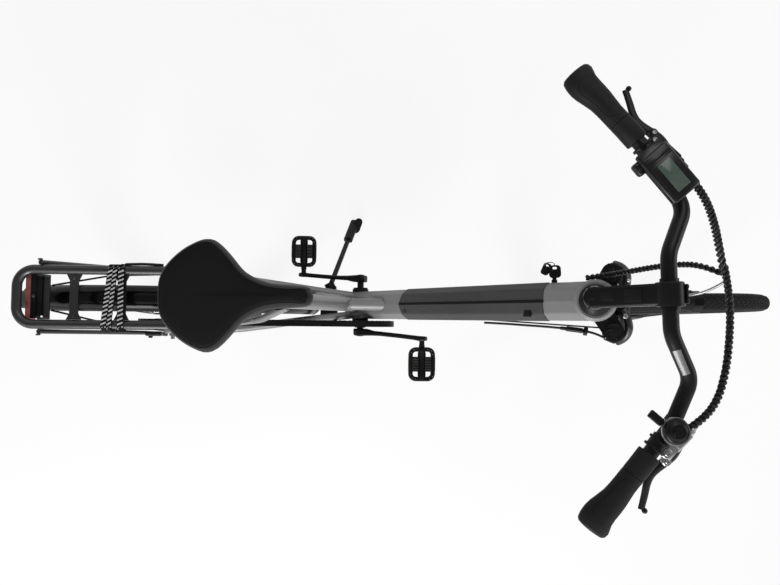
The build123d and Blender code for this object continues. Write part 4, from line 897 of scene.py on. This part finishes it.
def strapPath(lift):
    # Across the rack, from under one rail over to under the other
    size = straps["railRound"] + lift
    middle = straps["halfWidth"] - straps["railRound"]
    height = straps["railTop"] - straps["railRound"]
    right = [(-middle + size * math.cos(a), height + size * math.sin(a))
             for a in (math.radians(d) for d in range(215, 89, -18))]
    return right + [(-y, z) for y, z in right[::-1]]


def strapMiddle(band, y):
    # How far along the bicycle a band's middle is as it crosses the rack
    leftX, rightX = band
    return rightX + (leftX - rightX) * (y / straps["halfWidth"] + 1) / 2


def makeStraps():
    web = bmesh.new()
    thread = bmesh.new()
    size = straps["railRound"] + straps["thick"]
    half, slant = straps["threadHalf"], straps["threadSlant"]
    for band, width in straps["bands"]:
        # Four lines along a band, in order round it
        lines = []
        for lift, edge in ((0.25, -1), (0.25, 1), (straps["thick"], 1), (straps["thick"], -1)):
            lines.append([web.verts.new((strapMiddle(band, y) + edge * width / 2, y, z)) for y, z in strapPath(lift)])
        joinRings(web, [list(ring) for ring in zip(*lines)])
        for k in range(straps["threads"]):
            y = straps["threadSpan"] * (2 * k / (straps["threads"] - 1) - 1)
            x, reach = strapMiddle(band, y), width * 0.46
            foot, top = [], []
            for a, b in ((-reach, -slant - half), (reach, slant - half), (reach, slant + half), (-reach, half - slant)):
                past = max(0.0, abs(y + b) - straps["halfWidth"] + straps["railRound"])
                z = straps["railTop"] - straps["railRound"] + math.sqrt(max(size ** 2 - past ** 2, 1))
                foot.append((x + a, y + b, z + straps["threadLift"] - 0.7))
                top.append((x + a, y + b, z + straps["threadLift"]))
            addLug(thread, foot, top)
    rope = bmesh.new()
    for points in straps["cords"]:
        path = smoothRoute(points, 8)
        for start in roundAngles(3):
            addTube(rope, coilRound(path, 1.5, 8, start, 10), 1.5, 6)
    addBlock(rope, (30, 9, 20), (-392, -68, 735), bevel=3.5, segments=3)
    addTurned(rope, ((4, 0), (4, 3), (2.6, 4)), (-398, -72.2, 737), (0, -1, 0), 16)
    finishShape(web, "strapBands", "frame", "strapWeb", sharp=50, hides=("rack_straps",))
    finishShape(thread, "strapThreads", "frame", "strapThread")
    finishShape(rope, "strapCordsAndHook", "frame", "cableJacket")


# Each bow: its place, length, width and corner, and its turn
keysLook = dict(
    barrel=(365, 33, 795), bows=(((365.5, 57, 797), (22, 24, 7), 4), ((350, 62, 792), (15, 23, 5), -24)),
    holeShare=0.42, holeWidth=4.6, holeCorner=2.2, holeShift=6.6, half=2, ring=(355.5, 70, 797), ringReach=(9, 4, 5))


def makeKeys():
    # Two flat bows with a hole, one in the barrel and one hung from it by a ring
    bows = bmesh.new()
    for place, (length, width, corner), turn in keysLook["bows"]:
        matrix = Matrix.Translation(place) @ Matrix.Rotation(math.radians(turn), 4, "Z")
        edge = roundedLoop(length, width, corner)
        hole = [(x, y + keysLook["holeShift"]) for x, y in
                roundedLoop(length * keysLook["holeShare"], keysLook["holeWidth"], keysLook["holeCorner"])]
        joinRings(bows, [[bows.verts.new(matrix @ Vector((x, y, z * keysLook["half"]))) for x, y in loop]
                         for loop, z in ((edge, -1), (edge, 1), (hole, 1), (hole, -1))], closed=True)
    addTurned(bows, ((5.4, 0), (5.4, 8), (3.8, 9), (3.8, 16)), keysLook["barrel"], (0, 1, 0.06), 20)
    finishShape(bows, "keyBows", "frame", "blackPlastic", hides=("battery_lock",))
    ring = bmesh.new()
    x, y, z = keysLook["ringReach"]
    addTube(ring, [Vector(keysLook["ring"]) + Vector((x * math.cos(a), y * math.sin(a), z * math.sin(a)))
                   for a in roundAngles(24) + [2 * math.pi]], 0.9, 6)
    finishShape(ring, "keyRing", "frame", "steel")


# Bolts on the rack and its rear light, and the ribs of that light
rackLook = dict(
    sideBolts=((-606, 70), (-606, -70), (-451, 61), (-352, -61)), sideHigh=743,
    plateBolts=((-541, 36), (-541, -36), (-352, 36), (-352, -36)), plateHigh=745,
    ribs=17, ribPitch=5, ribStart=(-638.2, -38, 718))


def makeRackFittings():
    bolts = bmesh.new()
    for x, y in rackLook["sideBolts"]:
        addTurned(bolts, ((4.4, 0), (4.4, 2.2), (3.2, 3.2)), (x, y, rackLook["sideHigh"]), (0, y, 0), 16)
    for x, y in rackLook["plateBolts"]:
        addTurned(bolts, ((3.2, 0), (3.2, 1.4), (2.2, 2.0)), (x, y, rackLook["plateHigh"]), (0, 0, 1), 14)
    addTurned(bolts, ((3.4, 0), (3.4, 1.6), (2.4, 2.4)), (-624, 2, 729), (0, 0, 1), 14)
    finishShape(bolts, "rackBolts", "frame", "darkSteel")
    glass = bmesh.new()
    for k in range(rackLook["ribs"]):
        rib = Vector(rackLook["ribStart"]) + Vector((0, rackLook["ribPitch"] * k, 0))
        addBlock(glass, (0.7, 2.6, 20), rib, bevel=0.25, segments=1)
    addBlock(glass, (3.2, 88, 1.1), (-633.5, 2, 730.3), bevel=0.4, segments=1)
    finishShape(glass, "rearLightRibs", "frame", "redLens")


# Battery cover: a black strip along the ridge, painted shade where the cover's two faces meet, a ring button and a
# charging port, each laid on the down tube, whose top is found from its height and its distance behind the steering's
# line
down = dict(angle=math.radians(54.5), top=885.0, headReach=26.0, depth=42.0, start=201.0, length=424.0, flare=12.0,
            button=(220, -17), port=(586, -20))
tubeWay = Vector((math.cos(down["angle"]), 0, math.sin(down["angle"])))
tubeOut = Vector((-math.sin(down["angle"]), 0, math.cos(down["angle"])))
headX = steerFoot.x * 1000 - (down["top"] - steerFoot.z * 1000) / math.tan(headAngle)
downTop = Vector((headX - down["headReach"] / math.sin(headAngle), 0, down["top"]))
tubeFoot = downTop - tubeOut * down["depth"] - tubeWay * ((downTop - crankAxle).dot(tubeWay))


def onTube(along, across, lift):
    # A place by the distance along the down tube, across it, and out from its middle line
    return tubeFoot + tubeWay * along + Vector((0, across, 0)) + tubeOut * lift


def tubeLift(along, across):
    # How far out the down tube or its battery reaches there
    best = 0
    for name in ("down_tube", "battery_pack"):
        met = castFrom(name, onTube(along, across, 120) * 0.001, -tubeOut)
        if met:
            world, place, _ = met
            best = max(best, (toBike @ world @ place * 1000 - tubeFoot).dot(tubeOut))
    return best


def makeBatteryTrim():
    seam = bmesh.new()
    turn = Matrix((tubeWay, (0, 1, 0), -tubeOut)).transposed().to_4x4()
    start, end = down["start"] + 1, down["start"] + down["length"]
    middle = (start + end) / 2
    # The strip is painted shade: black, lying just beside the ridge where the cover's two faces meet
    addBlock(seam, (end - start, 5.6, 2.6), onTube(middle, 0.6, tubeLift(middle, 0.0) - 1.1), turn, bevel=0.5)
    finishShape(seam, "batteryRidgePaintedShade", "frame", "saddleTop")
    button = bmesh.new()
    along, across = down["button"]
    addTurned(button, ((4.6, -1.5), (4.6, 0.5), (3.4, 0.7), (3.2, -0.4), (1.2, -0.4)),
              onTube(along, across, tubeLift(along, across) + 0.6), tubeOut + Vector((0, -0.25, 0)), 24)
    finishShape(button, "batteryButton", "frame", "darkSteel")
    port = bmesh.new()
    along, across = down["port"]
    lift = tubeLift(along, across)
    tilt = turn @ Matrix.Rotation(math.radians(down["flare"]), 4, "X")
    addBlock(port, (19, 17, 3), onTube(along, across, lift), tilt, bevel=1.2, segments=3)
    addBlock(port, (14, 12, 3.4), onTube(along, across, lift + 0.2), tilt, bevel=0.8)
    for shift in (-4, 3.5):
        addTurned(port, ((1.7, 0), (1.7, 1.2), (1.1, 1.5)), onTube(along + shift, across, lift + 1.4), tubeOut, 12)
    finishShape(port, "chargingCover", "frame", "blackPlastic")


# Weld beads round both ends of the brace tube: each ring's X, height and slant
welds = dict(rings=((-20.5, 408.0, -0.34), (63, 413, 0.8)), radius=14.9, beads=26, beadSize=2.2)


def makeWelds():
    weld = bmesh.new()
    for x, z, slant in welds["rings"]:
        for angle in roundAngles(welds["beads"]):
            rise = welds["radius"] * math.sin(angle)
            spot = Vector((x + slant * rise, welds["radius"] * math.cos(angle), z + rise))
            bmesh.ops.create_icosphere(weld, subdivisions=1, radius=welds["beadSize"], matrix=Matrix.Translation(spot))
    finishShape(weld, "braceWelds", "frame", "framePaint", sharp=80)


# Cranks: an arm that steps out from a thick root to a thin tip. Each section is a distance from the axle, the
# inner and outer side, and half its height
arm = dict(
    length=172.0, turn=25.84,
    sections=((-15, 60.5, 77, 9), (-8, 60, 78.6, 14), (2, 60, 78.8, 15.5), (14, 60.6, 78.6, 14), (24, 62.4, 78.2, 12),
              (36, 65.6, 78, 10.5), (60, 67.4, 78.4, 9.2), (110, 71.4, 82.4, 8.6), (150, 75.2, 86.2, 8.6),
              (166, 76.6, 88.4, 10.8), (178, 77, 88.5, 10.8), (184, 78, 87.6, 7.0)))


def makeCranks():
    arms = bmesh.new()
    bolts = bmesh.new()
    cups = bmesh.new()
    turn = math.radians(arm["turn"])
    for side in (-1, 1):
        way = Vector((-side * math.cos(turn), 0, -side * math.sin(turn)))
        cross = Vector((-way.z, 0, way.x))
        outward = Vector((0, side, 0))
        rings = []
        for reach, near, far, half in arm["sections"]:
            # An eight-sided section with its corners taken off
            soft = min(3.0, half * 0.4)
            corners = [(near + soft, -half), (far - soft, -half), (far, -half + soft), (far, half - soft),
                       (far - soft, half), (near + soft, half), (near, half - soft), (near, -half + soft)]
            rings.append([arms.verts.new(crankAxle + way * reach + cross * c + outward * y) for y, c in corners])
        joinRings(arms, rings)
        addTurned(bolts, ((8.5, -0.6), (8.5, 1.0), (6.8, 1.6), (6.2, 0.4), (3, 0.4)), crankAxle + outward * 78.6,
                  outward, 24)
        addTurned(arms, ((8.4, 0), (8.4, 14)), crankAxle + outward * 47, outward, 24)
        addTurned(arms, ((7.2, -1), (7.2, 2)), crankAxle + way * arm["length"] + outward * 87.0, outward, 20)
        addTurned(cups, ((11, 0), (20.8, 0), (20.8, 7), (18.6, 8), (18.6, 11.6), (11, 11.6)),
                  crankAxle + outward * 34.2, outward, 40)
    addTurned(arms, ((8.3, -66), (8.3, 66)), crankAxle, (0, 1, 0), 24)
    finishShape(arms, "crankArms", "crank", "blackPaint", sharp=42, hides=("crankset",))
    finishShape(bolts, "crankBolts", "crank", "darkSteel")
    finishShape(cups, "bearingCups", "frame", "blackPlastic")


# Pedals: a rimmed block with studs. Each rim ring is an inset from the outline and a height
pedals = dict(
    length=67.0, width=85.0, corner=19.0, inner=104.0, back=154.8, drop=75.0,
    outerRim=((0.6, -4), (0, 0), (0.6, 4), (2.0, 6.6), (5.1, 6.6), (6.5, 5), (6.5, -5), (5.1, -6.6), (2.0, -6.6)),
    innerRim=((5.6, -4.6), (5.6, 4.6), (11.2, 4.6), (11.2, -4.6)), plateX=15.5, studs=(5, 9), studPitch=(2.8, 4))


def roundedLoop(length, width, corner, steps=6):
    points = []
    for x, y, start in ((1, 1, 0), (-1, 1, 90), (-1, -1, 180), (1, -1, 270)):
        for k in range(steps + 1):
            angle = math.radians(start + 90 * k / steps)
            points.append((x * (length / 2 - corner) + corner * math.cos(angle),
                           y * (width / 2 - corner) + corner * math.sin(angle)))
    return points


def makePedal(side, name, node, body):
    middle = crankAxle + Vector((-side * pedals["back"], side * (pedals["inner"] + pedals["width"] / 2),
                                 -side * pedals["drop"]))
    shape = bmesh.new()
    studs = bmesh.new()
    for rows in (pedals["outerRim"], pedals["innerRim"]):
        rings = []
        for inset, z in rows:
            loop = roundedLoop(pedals["length"] - 2 * inset, pedals["width"] - 2 * inset, pedals["corner"] - inset)
            rings.append([shape.verts.new(middle + Vector((x, y, z))) for x, y in loop])
        joinRings(shape, rings, closed=True)
    for x, y in roundedLoop(pedals["length"] - 15, pedals["width"] - 15, pedals["corner"] - 7.5, 4)[::2]:
        addBlock(studs, (2.6, 2.6, 14.2), middle + Vector((x * 1.06, y * 1.06, 0)), bevel=0.4, segments=1)
    # Two studded plates, and a bar beside each
    alongCount, acrossCount = pedals["studs"]
    alongPitch, acrossPitch = pedals["studPitch"]
    for end in (-1, 1):
        plate = end * pedals["plateX"]
        addBlock(shape, (16.5, 37, 9), middle + Vector((plate, 0, 0)), bevel=1.2)
        addBlock(shape, (3, 60, 8), middle + Vector((end * 8.4, 0, 0)), bevel=0.8)
        for i in range(alongCount):
            for j in range(acrossCount):
                x = plate + alongPitch * (i - (alongCount - 1) / 2)
                y = acrossPitch * (j - (acrossCount - 1) / 2)
                for z in (-5.0, 5.0):
                    addBlock(studs, (1.6, 1.7, 1.4), middle + Vector((x, y, z)), bevel=0.35, segments=1)
    addTurned(shape, ((7.5, -41), (9, -39), (9, -31), (7.4, -28), (7.4, 22), (9.3, 25), (9.3, 38), (7.6, 41.5)), middle,
              (0, side, 0), 24)
    addTurned(shape, ((6.5, 0), (6.5, 10), (7.4, 10.5), (7.4, 16)), middle + Vector((0, -side * 58.4, 0)),
              (0, side, 0), 20)
    finishShape(shape, name + "Body", body, "blackPlastic", hides=(node,))
    finishShape(studs, name + "Studs", body, "alloy")
    glass = bmesh.new()
    for end in (-1, 1):
        addBlock(glass, (1.6, 34, 7), middle + Vector((end * 33.0, 0, 0)), bevel=0.6)
    finishShape(glass, name + "Reflectors", body, "amberLens")


# Chain: two rows of waisted plates and the rollers between them
chainLook = dict(y=-43.0, pitch=12.7, frontTeeth=38, rearTeeth=19, plateRound=3.9, waist=3.0,
                 outerPlates=((-3.4, -2.5), (2.5, 3.4)), innerPlates=((-2.3, -1.5), (1.5, 2.3)))


def chainPins():
    # The pins' places, evenly along the loop over both rings
    ring = chainLook["pitch"] / (2 * math.sin(math.pi / chainLook["frontTeeth"]))
    cog = chainLook["pitch"] / (2 * math.sin(math.pi / chainLook["rearTeeth"]))
    front, rear = crankAxle, rearAxle
    span = math.hypot(rear.x, rear.z - front.z)
    uphill = math.atan2(rear.z - front.z, rear.x)
    ease = math.asin((ring - cog) / span)
    topNormal, lowNormal = uphill - math.pi / 2 + ease, uphill + math.pi / 2 - ease
    legs = (span * math.cos(ease), cog * (math.pi - 2 * ease), span * math.cos(ease), ring * (math.pi + 2 * ease))
    count = 2 * round(sum(legs) / chainLook["pitch"] / 2)
    pins = []
    for i in range(count):
        leg, way = 0, sum(legs) / count * i
        while leg < 3 and way > legs[leg]:
            way -= legs[leg]
            leg += 1
        # Straight over the top, round the cog, straight back below, round the ring
        centre, size, angle, forward = ((front, ring, topNormal, way), (rear, cog, topNormal + way / cog, 0),
                                        (rear, cog, lowNormal, way), (front, ring, lowNormal + way / ring, 0))[leg]
        pins.append(Vector((centre.x + size * math.cos(angle) - forward * math.sin(angle), chainLook["y"],
                            centre.z + size * math.sin(angle) + forward * math.cos(angle))))
    return pins


def makeChain():
    shape = bmesh.new()
    pins = chainPins()
    for i, here in enumerate(pins):
        there = pins[(i + 1) % len(pins)]
        way = (there - here).normalized()
        up = Vector((-way.z, 0, way.x))
        waist = here.lerp(there, 0.5)
        outline = []
        for centre, start, over in ((here, 90, -1), (there, -90, 1)):
            for k in range(5):
                angle = math.radians(start + 45 * k)
                outline.append(centre + chainLook["plateRound"] * (math.cos(angle) * way + math.sin(angle) * up))
            outline.append(waist + up * over * chainLook["waist"])
        for sides in chainLook["outerPlates" if i % 2 else "innerPlates"]:
            joinRings(shape, [[shape.verts.new(p + Vector((0, y, 0))) for p in outline] for y in sides])
        addTurned(shape, ((1.8, -3.7), (1.8, -1.5), (3.5, -1.5), (3.5, 1.5), (1.8, 1.5), (1.8, 3.7)), here,
                  (0, 1, 0), 10)
    finishShape(shape, "rollerChain", "frame", "chainSteel", hides=("chain",))


def makeStandBolt():
    bolts = bmesh.new()
    addTurned(bolts, ((6.5, 0), (6.5, 3.4), (5, 4.4)), (-90, 0, 275), (0, 0, -1), 20)
    finishShape(bolts, "standClampBolt", "frame", "darkSteel")


makeSaddle()
makeTyre("rearTyre", "rear_tyre", "rear_wheel", rearAxle, bikeFrame)
makeTyre("frontTyre", "front_tyre", "front_wheel", frontAxle, steeredFrame)
print("saddle and tyres made")
makeGrips()
makeLevers()
makeDisplay()
makeBell()
makeBarLabel()
makeStem()
makeFork()
makeLamp()
makeCables()
print("handlebar and fork dressed")
makeStraps()
makeRackFittings()
makeBatteryTrim()
makeWelds()
makeKeys()
makeCranks()
makePedal(1, "leftPedal", "left_pedal", "left_pedal")
makePedal(-1, "rightPedal", "right_pedal", "right_pedal")
makeChain()
makeNipples("frontNipples", "front_wheel", frontAxle, steeredFrame)
makeNipples("rearNipples", "rear_wheel", rearAxle, bikeFrame)
makeStandBolt()
print("frame dressed")
